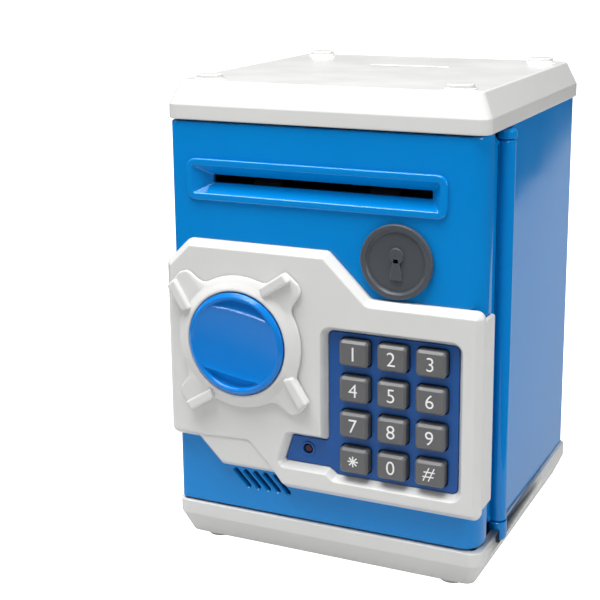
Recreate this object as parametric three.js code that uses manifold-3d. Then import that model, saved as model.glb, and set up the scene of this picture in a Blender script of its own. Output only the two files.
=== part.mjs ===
// Toy savings bank shaped like a small safe: a moulded case with a hinged electronic door.
// Millimetres. X runs to the right seen from the front, Y to the back, Z up from the feet.
import * as THREE from "three";
import { mergeVertices } from "three/addons/utils/BufferGeometryUtils.js";
import Module from "manifold-3d";

const wasm = await Module();
wasm.setup();

// ---- driving dimensions ----
const HEIGHT = 188;
const RIM_HALF_WIDTH = 64;
const RIM_HALF_DEPTH = 63;
const RIM_CORNER = 5;
const FLAT_CORNER = 3.5;
const FOOT_HEIGHT = 2;
const CHAMFER_HEIGHT = 9;
const CHAMFER_INSET = 4;
const RIM_HEIGHT = 5.5;
const TRAY_FLOOR = 2.2;
const TRAY_WALL = 3.2;
const BASE_TOP = FOOT_HEIGHT + CHAMFER_HEIGHT + RIM_HEIGHT;
const LID_BOTTOM = HEIGHT - BASE_TOP;
const GAP = 0.3;

const BODY_HALF_WIDTH = 62.5;
const WALL = 2.2;
const INNER_HALF_WIDTH = BODY_HALF_WIDTH - WALL;
const BODY_BOTTOM = BASE_TOP + GAP;
const BODY_TOP = LID_BOTTOM - GAP;

// Everything on the door is placed by how far it stands in front of the case's middle ("out").
const DOOR_FACE = 62;
const DOOR_BOTTOM = 17;
const DOOR_TOP = 171;
const DOOR_BACK = 39.1;
const COVER_BACK = 36.8;
const FASCIA_FACE = 66.5;
const FASCIA_HALF_WIDTH = 64.2;
const DIAL_FACE = 72;

const HINGE_X = 62;
const HINGE_Y = -35.5;
const BARREL_RADIUS = 3.5;
const PIN_RADIUS = 1.05;
const PIN_BORE = 1.35;
const LUG_RADIUS = 3.6;
const BARREL_BOTTOM = 19.6;
const BARREL_TOP = 166.7;

const KEY_COLUMNS = [15.2, 30.2, 45.2];
const KEY_ROWS = [88.8, 74.8, 60.8, 46.8];
const KEY_NAMES = [["1", "2", "3"], ["4", "5", "6"], ["7", "8", "9"], ["star", "0", "hash"]];
const KEY_WIDTH = 11.4;
const KEY_HEIGHT = 9.9;
const KEY_FACE = 67;
const PANEL_FACE = 63.2;
const LED_X = -4.8;
const LED_Z = 47.6;

const DIAL_X = -31.5;
const DIAL_Z = 88;
const DIAL_RING_RADIUS = 26;
const DIAL_CAP_RADIUS = 20;
const DIAL_ARM_ANGLES = [-40, 50, 140, 230];
const CRANK_RADIUS = 5.28;
const CRANK_HALF_SWING = 40;
const BOLT_TRAVEL = 2 * CRANK_RADIUS * Math.sin(THREE.MathUtils.degToRad(CRANK_HALF_SWING));
const BOLT_TIP = -53.2;
const PLUNGER_X = -46;

const SLOT_X = [-46, 42.5];
const SLOT_Z = [147.3, 150.5];
const FEED_OUT = 49;
const DRIVE_RADIUS = 5;
const PINCH_RADIUS = 4;
const BILL_LEVEL = 149;
const DRIVE_Z = BILL_LEVEL - DRIVE_RADIUS - GAP / 2;
const PINCH_Z = BILL_LEVEL + PINCH_RADIUS + GAP / 2;
const ROLLER_SPOTS = { left: -26, right: 22 };
const ROLLER_WIDTH = 12;
const GEAR_MODULE = 0.8;
const GEAR_TEETH = 22;
const PINION_TEETH = 10;
const PINION_Z = DRIVE_Z - GEAR_MODULE * (GEAR_TEETH + PINION_TEETH) / 2;

const CELL_RADIUS = 6.95;
const CELL_OUT = 46.1;
const CELL_BOTTOM = 42.3;
const CELL_LENGTH = 49.5;

const SCREW_SPOTS = [[-55.8, 38], [55.8, 38], [-55.8, -22], [55.8, -22]];
const COVER_SCREW_SPOTS = [[-50.5, 25.5], [-50.5, 163], [53.2, 25.5], [53.2, 163]];

// ---- outlines: lists of 2-D points, from corners given as x, y and a radius ----
// Shrinking moves every side inwards by a distance, and a negative one grows the outline.
function outline(corners, shrink = 0, steps = 2) {
  const sharp = corners.map(([x, y]) => new THREE.Vector2(x, y));
  const sense = THREE.ShapeUtils.area(sharp) > 0 ? 1 : -1;
  const along = sharp.map((corner, i) => sharp[(i + 1) % sharp.length].clone().sub(corner).normalize());
  const inward = along.map(({ x, y }) => new THREE.Vector2(-y * sense, x * sense));
  const moved = sharp.map((corner, i) => {
    const mitre = inward[i].clone().add(inward.at(i - 1)).divideScalar(1 + inward[i].dot(inward.at(i - 1)));
    return corner.clone().addScaledVector(mitre, shrink);
  });
  const points = moved.flatMap((corner, i) => {
    const radius = corners[i][2] ?? 0;
    return radius === 0 ? [corner] : roundCorner(corner, along.at(i - 1), along[i], radius, sense, shrink, steps);
  });
  return sense < 0 ? points.reverse() : points;
}

// The arc that rounds one corner, from the directions of the sides before and after it.
function roundCorner(corner, before, after, radius, sense, shrink, steps) {
  const convex = Math.sign(before.cross(after)) * sense;
  const newRadius = Math.max(radius - convex * shrink, 0.2);
  const half = (Math.PI - Math.acos(before.dot(after))) / 2;
  const bisector = after.clone().sub(before).normalize();
  const centre = corner.clone().addScaledVector(bisector, newRadius / Math.sin(half));
  const reach = newRadius / Math.tan(half);
  const start = corner.clone().addScaledVector(before, -reach).sub(centre).angle();
  const end = corner.clone().addScaledVector(after, reach).sub(centre).angle();
  const turn = THREE.MathUtils.euclideanModulo(end - start + Math.PI, 2 * Math.PI) - Math.PI;
  return Array.from({ length: steps + 1 }, (_, k) => {
    const angle = start + (turn * k) / steps;
    return new THREE.Vector2(Math.cos(angle), Math.sin(angle)).multiplyScalar(newRadius).add(centre);
  });
}

function rectangle(x0, x1, y0, y1, radius = 0, shrink = 0) {
  return outline([[x0, y0, radius], [x1, y0, radius], [x1, y1, radius], [x0, y1, radius]], shrink);
}

function turnOutline(points, degrees, x, y) {
  const angle = THREE.MathUtils.degToRad(degrees);
  return points.map((point) => point.clone().rotateAround(new THREE.Vector2(), angle).add(new THREE.Vector2(x, y)));
}

// ---- solids ----
function toSolid(geometry) {
  geometry.deleteAttribute("normal");
  geometry.deleteAttribute("uv");
  const merged = mergeVertices(geometry, 1e-4);
  return new wasm.Manifold(new wasm.Mesh({
    numProp: 3,
    vertProperties: Float32Array.from(merged.attributes.position.array),
    triVerts: Uint32Array.from(merged.index.array),
  }));
}

function toGeometry(solid) {
  const { vertProperties, triVerts } = solid.getMesh();
  const geometry = new THREE.BufferGeometry();
  geometry.setAttribute("position", new THREE.BufferAttribute(vertProperties, 3));
  geometry.setIndex(new THREE.BufferAttribute(triVerts, 1));
  geometry.computeVertexNormals();
  return geometry;
}

const join = (...solids) => solids.reduce((sum, solid) => sum.add(solid));
const cut = (solid, ...tools) => tools.reduce((rest, tool) => rest.subtract(tool), solid);

// Joins outlines of equal point count, each at its own height, into one closed skin along Z.
function loftGeometry(levels) {
  const count = levels[0][0].length;
  const positions = levels.flatMap(([points, height]) => points.flatMap((p) => [p.x, p.y, height]));
  const faces = [];
  for (let level = 0; level + 1 < levels.length; level += 1) {
    for (let i = 0; i < count; i += 1) {
      const a = level * count + i;
      const b = level * count + ((i + 1) % count);
      faces.push(a, b, b + count, a, b + count, a + count);
    }
  }
  const top = (levels.length - 1) * count;
  THREE.ShapeUtils.triangulateShape(levels[0][0], []).forEach(([a, b, c]) => faces.push(c, b, a));
  THREE.ShapeUtils.triangulateShape(levels.at(-1)[0], []).forEach(([a, b, c]) => {
    faces.push(top + a, top + b, top + c);
  });
  const geometry = new THREE.BufferGeometry();
  geometry.setAttribute("position", new THREE.Float32BufferAttribute(positions, 3));
  geometry.setIndex(faces);
  return geometry;
}

const upright = (levels) => toSolid(loftGeometry(levels));
const standing = (levels) => toSolid(loftGeometry(levels).rotateX(Math.PI / 2));
const slab = (points, low, high) => upright([[points, low], [points, high]]);
const panel = (points, back, front) => standing([[points, back], [points, front]]);

function block(x0, x1, y0, y1, z0, z1) {
  const geometry = new THREE.BoxGeometry(x1 - x0, y1 - y0, z1 - z0);
  return toSolid(geometry.translate((x0 + x1) / 2, (y0 + y1) / 2, (z0 + z1) / 2));
}

// Round bars along Z (post), along Y (boss) and along X (axle).
function post(x, y, radius, z0, z1, sides = 20) {
  const geometry = new THREE.CylinderGeometry(radius, radius, z1 - z0, sides).rotateX(Math.PI / 2);
  return toSolid(geometry.translate(x, y, (z0 + z1) / 2));
}

function boss(x, z, radius, back, front, sides = 20, backRadius = radius) {
  const geometry = new THREE.CylinderGeometry(backRadius, radius, front - back, sides);
  return toSolid(geometry.translate(x, -(back + front) / 2, z));
}

function axle(out, z, radius, x0, x1, sides = 20) {
  const geometry = new THREE.CylinderGeometry(radius, radius, x1 - x0, sides).rotateZ(Math.PI / 2);
  return toSolid(geometry.translate((x0 + x1) / 2, -out, z));
}

// Revolves a profile of radius and "out" about a line along Y.
function turned(profile, x, z, sides = 40) {
  const points = profile.map(([radius, out]) => new THREE.Vector2(radius, out));
  const geometry = new THREE.LatheGeometry(points, sides).rotateX(Math.PI);
  return toSolid(geometry.translate(x, 0, z));
}

// ---- materials ----
const plastic = (color, roughness) => new THREE.MeshStandardMaterial({ color, roughness, metalness: 0 });
const metal = (color, roughness) => new THREE.MeshStandardMaterial({ color, roughness, metalness: 1 });
const BLUE = plastic(0x1478c8, 0.28);
const DEEP_BLUE = plastic(0x0c4682, 0.4);
const WHITE = plastic(0xe6e5e2, 0.3);
const GREY = plastic(0x5a5a5a, 0.5);
const BADGE_GREY = plastic(0x7d7f84, 0.45);
const BLACK = plastic(0x1b1c1e, 0.6);
const RUBBER = plastic(0x2c2c2e, 0.9);
const RED = plastic(0x5a0c10, 0.2);
const GREEN = plastic(0x1c6a3a, 0.5);
const STEEL = metal(0xb9bcc0, 0.35);

const bank = new THREE.Group();
// The case's middle isn't the middle of the whole object: the dial stands out in front, the hinge to the right.
bank.position.x = (FASCIA_HALF_WIDTH - HINGE_X - LUG_RADIUS) / 2;
bank.position.y = (DIAL_FACE - RIM_HALF_DEPTH) / 2;

function addPiece(name, solid, material) {
  const mesh = new THREE.Mesh(toGeometry(solid), material);
  mesh.name = name;
  bank.add(mesh);
}

// ---- case: base, lid, shell and hinge pin ----
function trayOutline(inset, cornerRadius) {
  const x = RIM_HALF_WIDTH - inset;
  const y = RIM_HALF_DEPTH - inset;
  return rectangle(-x, x, -y, y, cornerRadius);
}

// A shallow tray with its mouth up, its flat outer face at height 0 and four low discs under it.
function tray() {
  const shell = cut(
    upright([
      [trayOutline(CHAMFER_INSET, FLAT_CORNER), 0],
      [trayOutline(0, RIM_CORNER), CHAMFER_HEIGHT],
      [trayOutline(0, RIM_CORNER), CHAMFER_HEIGHT + RIM_HEIGHT],
    ]),
    upright([
      [trayOutline(CHAMFER_INSET + TRAY_WALL - 1, 2), TRAY_FLOOR],
      [trayOutline(TRAY_WALL, 2.5), CHAMFER_HEIGHT],
      [trayOutline(TRAY_WALL, 2.5), CHAMFER_HEIGHT + RIM_HEIGHT + 1],
    ]),
  );
  const discs = [-1, 1].flatMap((sx) => [-1, 1].flatMap((sy) => [
    post(sx * 50, sy * 52, 5, -FOOT_HEIGHT, 1),
    post(sx * 50, sy * 52, 6, -0.5, 1),
  ]));
  return join(shell, ...discs);
}

// Side outline of the lower hinge lug: its back end slopes up to the rim.
const LOWER_LUG_SIDE = [[-39.2, 11.3, 1.5], [-31.5, 11.3, 2], [-27, 17.5], [-27, 19.2], [-39.2, 19.2]];

// Plan outline of a hinge lug: from the side wall's front edge it swells out round the pin.
const LUG_PLAN = [
  [HINGE_X - LUG_RADIUS, HINGE_Y - LUG_RADIUS, 3.5], [HINGE_X + LUG_RADIUS, HINGE_Y - LUG_RADIUS, 3.5],
  [HINGE_X + LUG_RADIUS, HINGE_Y + 1.5, 3], [BODY_HALF_WIDTH + 0.05, -27], [BODY_HALF_WIDTH + 0.05, -25],
  [INNER_HALF_WIDTH, -25], [INNER_HALF_WIDTH, -27], [HINGE_X - LUG_RADIUS, -30.5],
];

// Sweeps a side outline, given as y and z, across a stretch of X.
function crosswise(points, x0, x1) {
  return toSolid(loftGeometry([[points, x0], [points, x1]]).rotateZ(Math.PI / 2).rotateY(Math.PI / 2));
}

function lowerLug(clearance) {
  const side = crosswise(outline(LOWER_LUG_SIDE, -clearance), INNER_HALF_WIDTH - 6, BODY_HALF_WIDTH + 6);
  return slab(outline(LUG_PLAN, -clearance), 5, 25).intersect(side);
}

function buildBase() {
  const wells = SCREW_SPOTS.map(([x, y]) => post(x, y, 4.3, FOOT_HEIGHT + 1, BASE_TOP - GAP));
  const holes = SCREW_SPOTS.flatMap(([x, y]) => [
    post(x, y, 3.1, 0, 7),
    post(x, y, 1.65, 0, BASE_TOP + 1),
  ]);
  const shell = join(tray().translate([0, 0, FOOT_HEIGHT]), ...wells);
  addPiece("base_cover", cut(shell, ...holes, lowerLug(GAP + 0.05)), WHITE);
}

function buildLid() {
  const slot = slab(rectangle(-13, 21, 16.2, 20.8, 2.2), HEIGHT - 8, HEIGHT);
  const ribs = cut(
    slab(rectangle(-15, 23, 14.2, 22.8, 3), LID_BOTTOM + 6, HEIGHT - FOOT_HEIGHT - 1),
    slab(rectangle(-13, 21, 16.2, 20.8, 2.2), LID_BOTTOM, HEIGHT),
  );
  const pegs = SCREW_SPOTS.map(([x, y]) => join(
    post(x, y, 3.4, LID_BOTTOM + 1, HEIGHT - FOOT_HEIGHT - 1),
    post(x, y, 1.3, LID_BOTTOM - 7, HEIGHT - FOOT_HEIGHT - 1),
  ));
  const shell = tray().rotate([180, 0, 0]).translate([0, 0, HEIGHT - FOOT_HEIGHT]);
  addPiece("lid_cover", cut(join(shell, ribs, ...pegs), slot), WHITE);
}

function buildBody() {
  const ring = cut(
    slab(rectangle(-BODY_HALF_WIDTH, BODY_HALF_WIDTH, -61.5, BODY_HALF_WIDTH - 1, 3), BODY_BOTTOM, BODY_TOP),
    slab(rectangle(-INNER_HALF_WIDTH, INNER_HALF_WIDTH, -70, INNER_HALF_WIDTH - 1, 1), 0, HEIGHT),
    block(-70, 0, -70, -53.7, 0, HEIGHT),
    block(0, 70, -70, -31.6, 0, HEIGHT),
  );
  const inner = INNER_HALF_WIDTH + 0.1;
  const flanges = join(
    block(-inner, -57.2, -53.7, -51.9, BODY_BOTTOM, BODY_TOP),
    block(57, inner, -31.4, -29.4, BODY_BOTTOM, BODY_TOP),
    block(-inner, inner, -31.4, -29.4, BODY_BOTTOM, 21.5),
    block(-inner, inner, -31.4, -29.4, 166.5, BODY_TOP),
  );
  const upperLug = slab(outline(LUG_PLAN), 167, 170.7);
  const columns = SCREW_SPOTS.flatMap(([x, y]) => [
    post(x, y, 3.4, BODY_BOTTOM, BODY_TOP),
    block(Math.min(x, Math.sign(x) * inner), Math.max(x, Math.sign(x) * inner), y - 0.8, y + 0.8, BODY_BOTTOM, BODY_TOP),
  ]);
  const bores = SCREW_SPOTS.flatMap(([x, y]) => [
    post(x, y, 1.65, 0, 28),
    post(x, y, 1.65, 162, HEIGHT),
  ]);
  const shell = join(ring, flanges, upperLug, lowerLug(0), ...columns);
  addPiece("body_shell", cut(shell, ...bores, post(HINGE_X, HINGE_Y, PIN_BORE, 0, HEIGHT)), BLUE);
  addPiece("hinge_pin", post(HINGE_X, HINGE_Y, PIN_RADIUS, 11.6, 170.4, 16), STEEL);
}

// A screw whose head faces -Z at "seat": head, shank and a cross-shaped recess.
function screw(headRadius, shankRadius, length) {
  const headHeight = 1.6;
  const recess = join(
    block(-headRadius * 0.6, headRadius * 0.6, -0.35, 0.35, -headHeight - 1, -headHeight + 0.9),
    block(-0.35, 0.35, -headRadius * 0.6, headRadius * 0.6, -headHeight - 1, -headHeight + 0.9),
  );
  return cut(join(post(0, 0, headRadius, -headHeight, 0, 14), post(0, 0, shankRadius, -0.5, length, 8)), recess);
}

function buildBaseScrews() {
  SCREW_SPOTS.forEach(([x, y], i) => {
    addPiece(`base_screw_${i + 1}`, screw(2.6, 1.3, 18).translate([x, y, 7 - GAP]), STEEL);
  });
}

// ---- door shell with its bill slot, grille, hinge barrel and bearing ----
const BEZEL = rectangle(-55.5, 49.5, 141, 157, 4);

function buildDoorShell() {
  const skin = slab(outline([
    [-BODY_HALF_WIDTH, -54], [-BODY_HALF_WIDTH, -DOOR_FACE, 2.5], [BODY_HALF_WIDTH, -DOOR_FACE, 6],
    [BODY_HALF_WIDTH, -51], [INNER_HALF_WIDTH, -51], [INNER_HALF_WIDTH, WALL - DOOR_FACE, 3.8],
    [-INNER_HALF_WIDTH, WALL - DOOR_FACE, 0.6], [-INNER_HALF_WIDTH, -54],
  ], 0, 4), DOOR_BOTTOM, DOOR_TOP);
  const frame = (shrink) => rectangle(-56.4, 60.4, BARREL_BOTTOM, 168.4, 3, shrink);
  const box = cut(panel(frame(0), DOOR_BACK, 60), panel(frame(2), 30, 61));
  const barrel = join(
    post(HINGE_X, HINGE_Y, BARREL_RADIUS, BARREL_BOTTOM, BARREL_TOP, 32),
    block(58.4, 60.4, -DOOR_BACK - 1, -34.5, BARREL_BOTTOM, BARREL_TOP),
  );
  const bezel = join(panel(BEZEL, 61, 63.2), panel(rectangle(-52, 48, 143, 155, 2), 57, 61));
  const bearing = boss(DIAL_X, DIAL_Z, 7, 54.5, 61);
  const posts = COVER_SCREW_SPOTS.map(([x, z]) => boss(x, z, 3.2, DOOR_BACK, 61));
  const slot = rectangle(...SLOT_X, ...SLOT_Z);
  const funnel = join(
    standing([[slot, 58.6], [rectangle(-52.8, 46.8, 143.6, 154.4), 63.3]]),
    panel(slot, 50, 60),
  );
  const keypadHole = panel(outline(WINDOW, -3), 50, 70);
  const grille = Array.from({ length: 5 }, (_, i) => {
    const top = -38.8 + 4.3 * i;
    const louvre = outline([[top, 33.5], [top + 7, 26.4], [top + 9, 26.4], [top + 2, 33.5]]);
    return panel(louvre, 50, 70);
  });
  const boltHole = block(-58, -53, -51.7, -48.9, 82.6, 93.4);
  const screwHoles = COVER_SCREW_SPOTS.map(([x, z]) => boss(x, z, 1.5, 30, 52));
  const shell = join(skin, box, barrel, bezel, bearing, ...posts);
  addPiece("door_shell", cut(
    shell, funnel, keypadHole, boltHole, ...grille, ...screwHoles,
    boss(DIAL_X, DIAL_Z, 4.3, 50, 70),
    post(HINGE_X, HINGE_Y, PIN_BORE, 0, HEIGHT),
  ), BLUE);
}

// ---- white fascia that wraps round both edges of the door ----
const FASCIA = [
  [FASCIA_HALF_WIDTH, 30.5, 3], [FASCIA_HALF_WIDTH, 109.5, 3], [21, 109.5, 2], [4, 126, 3], [-54, 126, 3],
  [-FASCIA_HALF_WIDTH, 116, 3], [-FASCIA_HALF_WIDTH, 45.5, 3], [-52, 45.5, 2], [-42, 35.5, 2],
  [-18.5, 35.5, 2], [-13.5, 30.5, 2],
];
const WINDOW = [
  [3.6, 96, 2.5], [55.4, 96, 2.5], [55.4, 39, 2.5], [7.3, 39, 1.5], [4.2, 41.3, 1.5],
  [-15, 41.3, 1], [-11.4, 52.5, 1], [3.6, 52.5, 1.5],
];

function buildFascia() {
  const back = DOOR_FACE + GAP;
  const skin = standing([[outline(FASCIA), back], [outline(FASCIA), back + 1.6], [outline(FASCIA, 2.4), FASCIA_FACE]]);
  const sides = join(
    block(BODY_HALF_WIDTH + GAP, FASCIA_HALF_WIDTH, -back - 1, -51.2, 34, 106),
    block(-FASCIA_HALF_WIDTH, -BODY_HALF_WIDTH - GAP, -back - 1, -54.2, 49, 112),
  );
  const hollow = cut(
    standing([[outline(FASCIA, 2), back - 1], [outline(FASCIA, 2), back + 0.6], [outline(FASCIA, 4), FASCIA_FACE - 1.8]]),
    panel(outline(WINDOW, -4.5), 60, 70),
    boss(DIAL_X, DIAL_Z, 12, 60, 70),
  );
  const window = standing([
    [outline(WINDOW), back - 1], [outline(WINDOW), back + 0.6], [outline(WINDOW, -2), FASCIA_FACE + 0.1],
  ]);
  addPiece("door_fascia", cut(join(skin, sides), hollow, window, boss(DIAL_X, DIAL_Z, 4.6, 60, 70)), WHITE);
}

// ---- keypad: panel, keys, silicone mat, circuit board and status lamp ----
function keyOutline(x, z, grow) {
  const halfWidth = KEY_WIDTH / 2 + grow;
  const halfHeight = KEY_HEIGHT / 2 + grow;
  return rectangle(x - halfWidth, x + halfWidth, z - halfHeight, z + halfHeight, 1.5);
}

function buildKeypad() {
  const keyHoles = [];
  const domes = [];
  KEY_ROWS.forEach((z, row) => KEY_COLUMNS.forEach((x, column) => {
    keyHoles.push(panel(keyOutline(x, z, 0.4), 55, 70));
    domes.push(boss(x, z, 2.4, 57, 57.9, 10, 3.4));
    const key = join(
      standing([[keyOutline(x, z, 0), 59.4], [keyOutline(x, z, 0), KEY_FACE - 1], [keyOutline(x, z, -1), KEY_FACE]]),
      panel(keyOutline(x, z, 0.9), 59.4, 60.3),
    );
    addPiece(`key_${KEY_NAMES[row][column]}`, key, GREY);
  }));
  const plate = join(panel(outline(WINDOW, -2.6), 60.6, DOOR_FACE), panel(outline(WINDOW, GAP), 61, PANEL_FACE));
  const lampRing = boss(LED_X, LED_Z, 3, 61, PANEL_FACE + 0.5);
  addPiece("keypad_panel", cut(join(plate, lampRing), ...keyHoles, boss(LED_X, LED_Z, 2, 50, 70)), DEEP_BLUE);
  addPiece("keypad_mat", join(panel(rectangle(7, 53.4, 39.6, 96, 2), 56.4, 57.1), ...domes), GREY);
  addPiece("status_lamp", boss(LED_X, LED_Z, 1.6, 56.4, PANEL_FACE, 16), RED);
  const chip = panel(rectangle(-6, 0, 60, 66, 1), 53.6, 55);
  addPiece("circuit_board", join(panel(rectangle(-9, 56.2, 36.5, 97.5, 1), 54.9, 56.1), chip), GREEN);
}

// ---- badge: a plain round medallion with a keyhole ----
function buildBadge() {
  const x = 30.7;
  const z = 124.4;
  const radius = 13.9;
  const rim = cut(boss(x, z, radius, 62.3, 64.2, 32), boss(x, z, radius - 2.2, 60, 70, 32));
  const plate = join(boss(x, z, radius, 62.3, 63.3, 32), rim);
  const keyhole = join(
    boss(x, z + 2.2, 2.8, 63, 64.2, 16),
    panel(outline([[x - 1.2, z + 1], [x + 1.2, z + 1], [x + 2.6, z - 6.5], [x - 2.6, z - 6.5]]), 63, 64.2),
  );
  addPiece("badge", join(plate, keyhole), BADGE_GREY);
}

// ---- dial, spindle, crank and latch bolt ----
const ARM = [[20, -6.9], [29, -6.6, 2], [34, -5.6, 1.5], [35.4, -3], [35.4, 3.4, 1], [25, 6.6, 1], [20, 6.6]];
// The two finger hollows of the cap are segments of its dish, below and above a broad middle bar.
const HOLLOW = [
  [12.4, -12.4, 0.6], [-12.4, -12.4, 0.6], [-8.8, -15.2, 3], [-4.4, -17, 3], [4.4, -17, 3], [8.8, -15.2, 3],
];
const HOLLOW_TURN = -10;
const ARM_RIB = [[22.4, 3.4], [24.6, 6.8, 0.8], [35.5, 3.6, 0.8], [34.9, -0.3, 0.8]];

function buildDial() {
  const ring = turned([
    [0, 66.9], [DIAL_RING_RADIUS, 66.9], [DIAL_RING_RADIUS, 67.9], [25.2, 68.8], [21.4, 70.4], [20.5, 70.4],
    [20.5, 68.6], [0, 68.6],
  ], DIAL_X, DIAL_Z);
  const arms = DIAL_ARM_ANGLES.flatMap((angle) => [
    panel(turnOutline(outline(ARM), angle, DIAL_X, DIAL_Z), 66.9, 68.4),
    panel(turnOutline(outline(ARM_RIB), angle, DIAL_X, DIAL_Z), 66.9, 71),
  ]);
  const well = boss(DIAL_X, DIAL_Z, 20.5, 68.6, 80, 40);
  addPiece("dial_ring", cut(join(ring, ...arms), well, boss(DIAL_X, DIAL_Z, 4.3, 60, 80)), WHITE);

  const cap = turned([
    [0, 68.9], [DIAL_CAP_RADIUS, 68.9], [DIAL_CAP_RADIUS, 71.2], [19.2, DIAL_FACE], [18.4, DIAL_FACE],
    [17.6, 71.3], [0, 70.4],
  ], DIAL_X, DIAL_Z);
  const hollows = [0, 180].map((turn) => {
    const edge = (shrink) => turnOutline(outline(HOLLOW, shrink), HOLLOW_TURN + turn, DIAL_X, DIAL_Z);
    return standing([[edge(0.8), 69.6], [edge(0.1), 71], [edge(0), 73]]);
  });
  addPiece("dial_cap", cut(cap, ...hollows), BLUE);
  addPiece("dial_spindle", boss(DIAL_X, DIAL_Z, 4, 54.3, 68.4), WHITE);

  const swing = THREE.MathUtils.degToRad(CRANK_HALF_SWING);
  const pinX = DIAL_X + CRANK_RADIUS * Math.sin(swing);
  const pinZ = DIAL_Z + CRANK_RADIUS * Math.cos(swing);
  const crank = join(boss(DIAL_X, DIAL_Z, 8, 52.2, 54), boss(pinX, pinZ, 1.5, 48.8, 53, 16));
  addPiece("latch_crank", crank, WHITE);

  const plate = panel(outline([
    [BOLT_TIP, 83.2, 1.5], [-22, 83.2], [-22, 98, 1], [-35.8, 98, 1], [-35.8, 93], [BOLT_TIP, 93, 1.5],
  ]), 49.2, 51.4);
  const slot = panel(rectangle(pinX - 1.85, pinX + 1.85, 90.2, DIAL_Z + CRANK_RADIUS + 2.1, 1.5), 40, 60);
  const notches = [PLUNGER_X, PLUNGER_X + BOLT_TRAVEL].map((x) => block(x - 2.6, x + 2.6, -60, -40, 89.6, 95));
  addPiece("latch_bolt", cut(plate, slot, ...notches), WHITE);
}

// ---- lock solenoid and its plunger ----
function buildSolenoid() {
  const coil = cut(block(-53.6, -38.8, -57.4, -43.2, 102, 120), post(PLUNGER_X, -50.3, 2.35, 90, 113));
  addPiece("lock_solenoid", coil, STEEL);
  addPiece("lock_plunger", post(PLUNGER_X, -50.3, 2, 94.2, 112, 20), STEEL);
}

// ---- bill feed: frame, motor, gears, shafts and rollers ----
function gearOutline(teeth, phase) {
  const pitch = (GEAR_MODULE * teeth) / 2;
  const step = (2 * Math.PI) / teeth;
  const flank = [[pitch - 1, -0.27], [pitch + 0.6, -0.1], [pitch + 0.6, 0.1], [pitch - 1, 0.27]];
  return Array.from({ length: teeth }, (_, i) => i).flatMap((i) => flank.map(([radius, shift]) => {
    const angle = (i + shift + phase) * step - Math.PI / 2;
    return new THREE.Vector2(radius * Math.cos(angle), radius * Math.sin(angle));
  }));
}

function gear(teeth, phase, z, x0, x1) {
  const blank = loftGeometry([[gearOutline(teeth, phase), x0], [gearOutline(teeth, phase), x1]]);
  return toSolid(blank.rotateZ(Math.PI / 2).rotateY(Math.PI / 2).translate(0, -FEED_OUT, z));
}

function buildFeed() {
  const ends = join(
    block(-50.5, -48.5, -56.5, -41, 138, 158.5),
    block(45.5, 47.5, -56.5, -41, 122, 158.5),
  );
  const guides = join(
    block(-49, 46, -56.5, -41, 145.6, 147),
    block(-49, 46, -56.5, -41, 150.9, 152.3),
  );
  const windows = Object.values(ROLLER_SPOTS).map((x) => block(x - 7, x + 7, -55, -43, 140, 158));
  addPiece("feed_frame", cut(
    join(ends, cut(guides, ...windows)),
    axle(FEED_OUT, DRIVE_Z, 1.8, -60, 60),
    axle(FEED_OUT, PINCH_Z, 1.5, -60, 60),
    axle(FEED_OUT, PINION_Z, 3.4, 40, 60),
  ), BLACK);
  addPiece("feed_motor", join(
    axle(FEED_OUT, PINION_Z, 7.6, 20, 45.2, 32).intersect(block(0, 60, -60, -30, PINION_Z - 8, PINION_Z + 6.2)),
    axle(FEED_OUT, PINION_Z, 2.6, 18, 45.2),
  ), STEEL);
  addPiece("motor_pinion", join(
    gear(PINION_TEETH, 0.5, PINION_Z, 49, 53),
    axle(FEED_OUT, PINION_Z, 1, 45.5, 50, 12),
  ), WHITE);
  addPiece("drive_gear", cut(gear(GEAR_TEETH, 0, DRIVE_Z, 49, 53), axle(FEED_OUT, DRIVE_Z, 1.8, 40, 60)), WHITE);
  addPiece("drive_shaft", axle(FEED_OUT, DRIVE_Z, 1.5, -52, 54.5), STEEL);
  addPiece("pinch_shaft", axle(FEED_OUT, PINCH_Z, 1.2, -52, 49), STEEL);
  Object.entries(ROLLER_SPOTS).forEach(([side, x]) => {
    const x0 = x - ROLLER_WIDTH / 2;
    const x1 = x + ROLLER_WIDTH / 2;
    addPiece(`drive_roller_${side}`, cut(
      axle(FEED_OUT, DRIVE_Z, DRIVE_RADIUS, x0, x1, 28), axle(FEED_OUT, DRIVE_Z, 1.8, -60, 60),
    ), RUBBER);
    addPiece(`pinch_roller_${side}`, cut(
      axle(FEED_OUT, PINCH_Z, PINCH_RADIUS, x0, x1, 28), axle(FEED_OUT, PINCH_Z, 1.5, -60, 60),
    ), RUBBER);
  });
}

// ---- loudspeaker behind the grille ----
function buildSpeaker() {
  addPiece("loudspeaker", turned([
    [0, 51.6], [6, 51.6], [6, 55], [8, 55], [11.4, 58], [11.4, 59.4], [9.6, 59.4], [8, 57.6], [3, 56.8],
    [2.4, 57.4], [0, 57.8],
  ], -27.5, 33.8, 24), BLACK);
}

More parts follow.
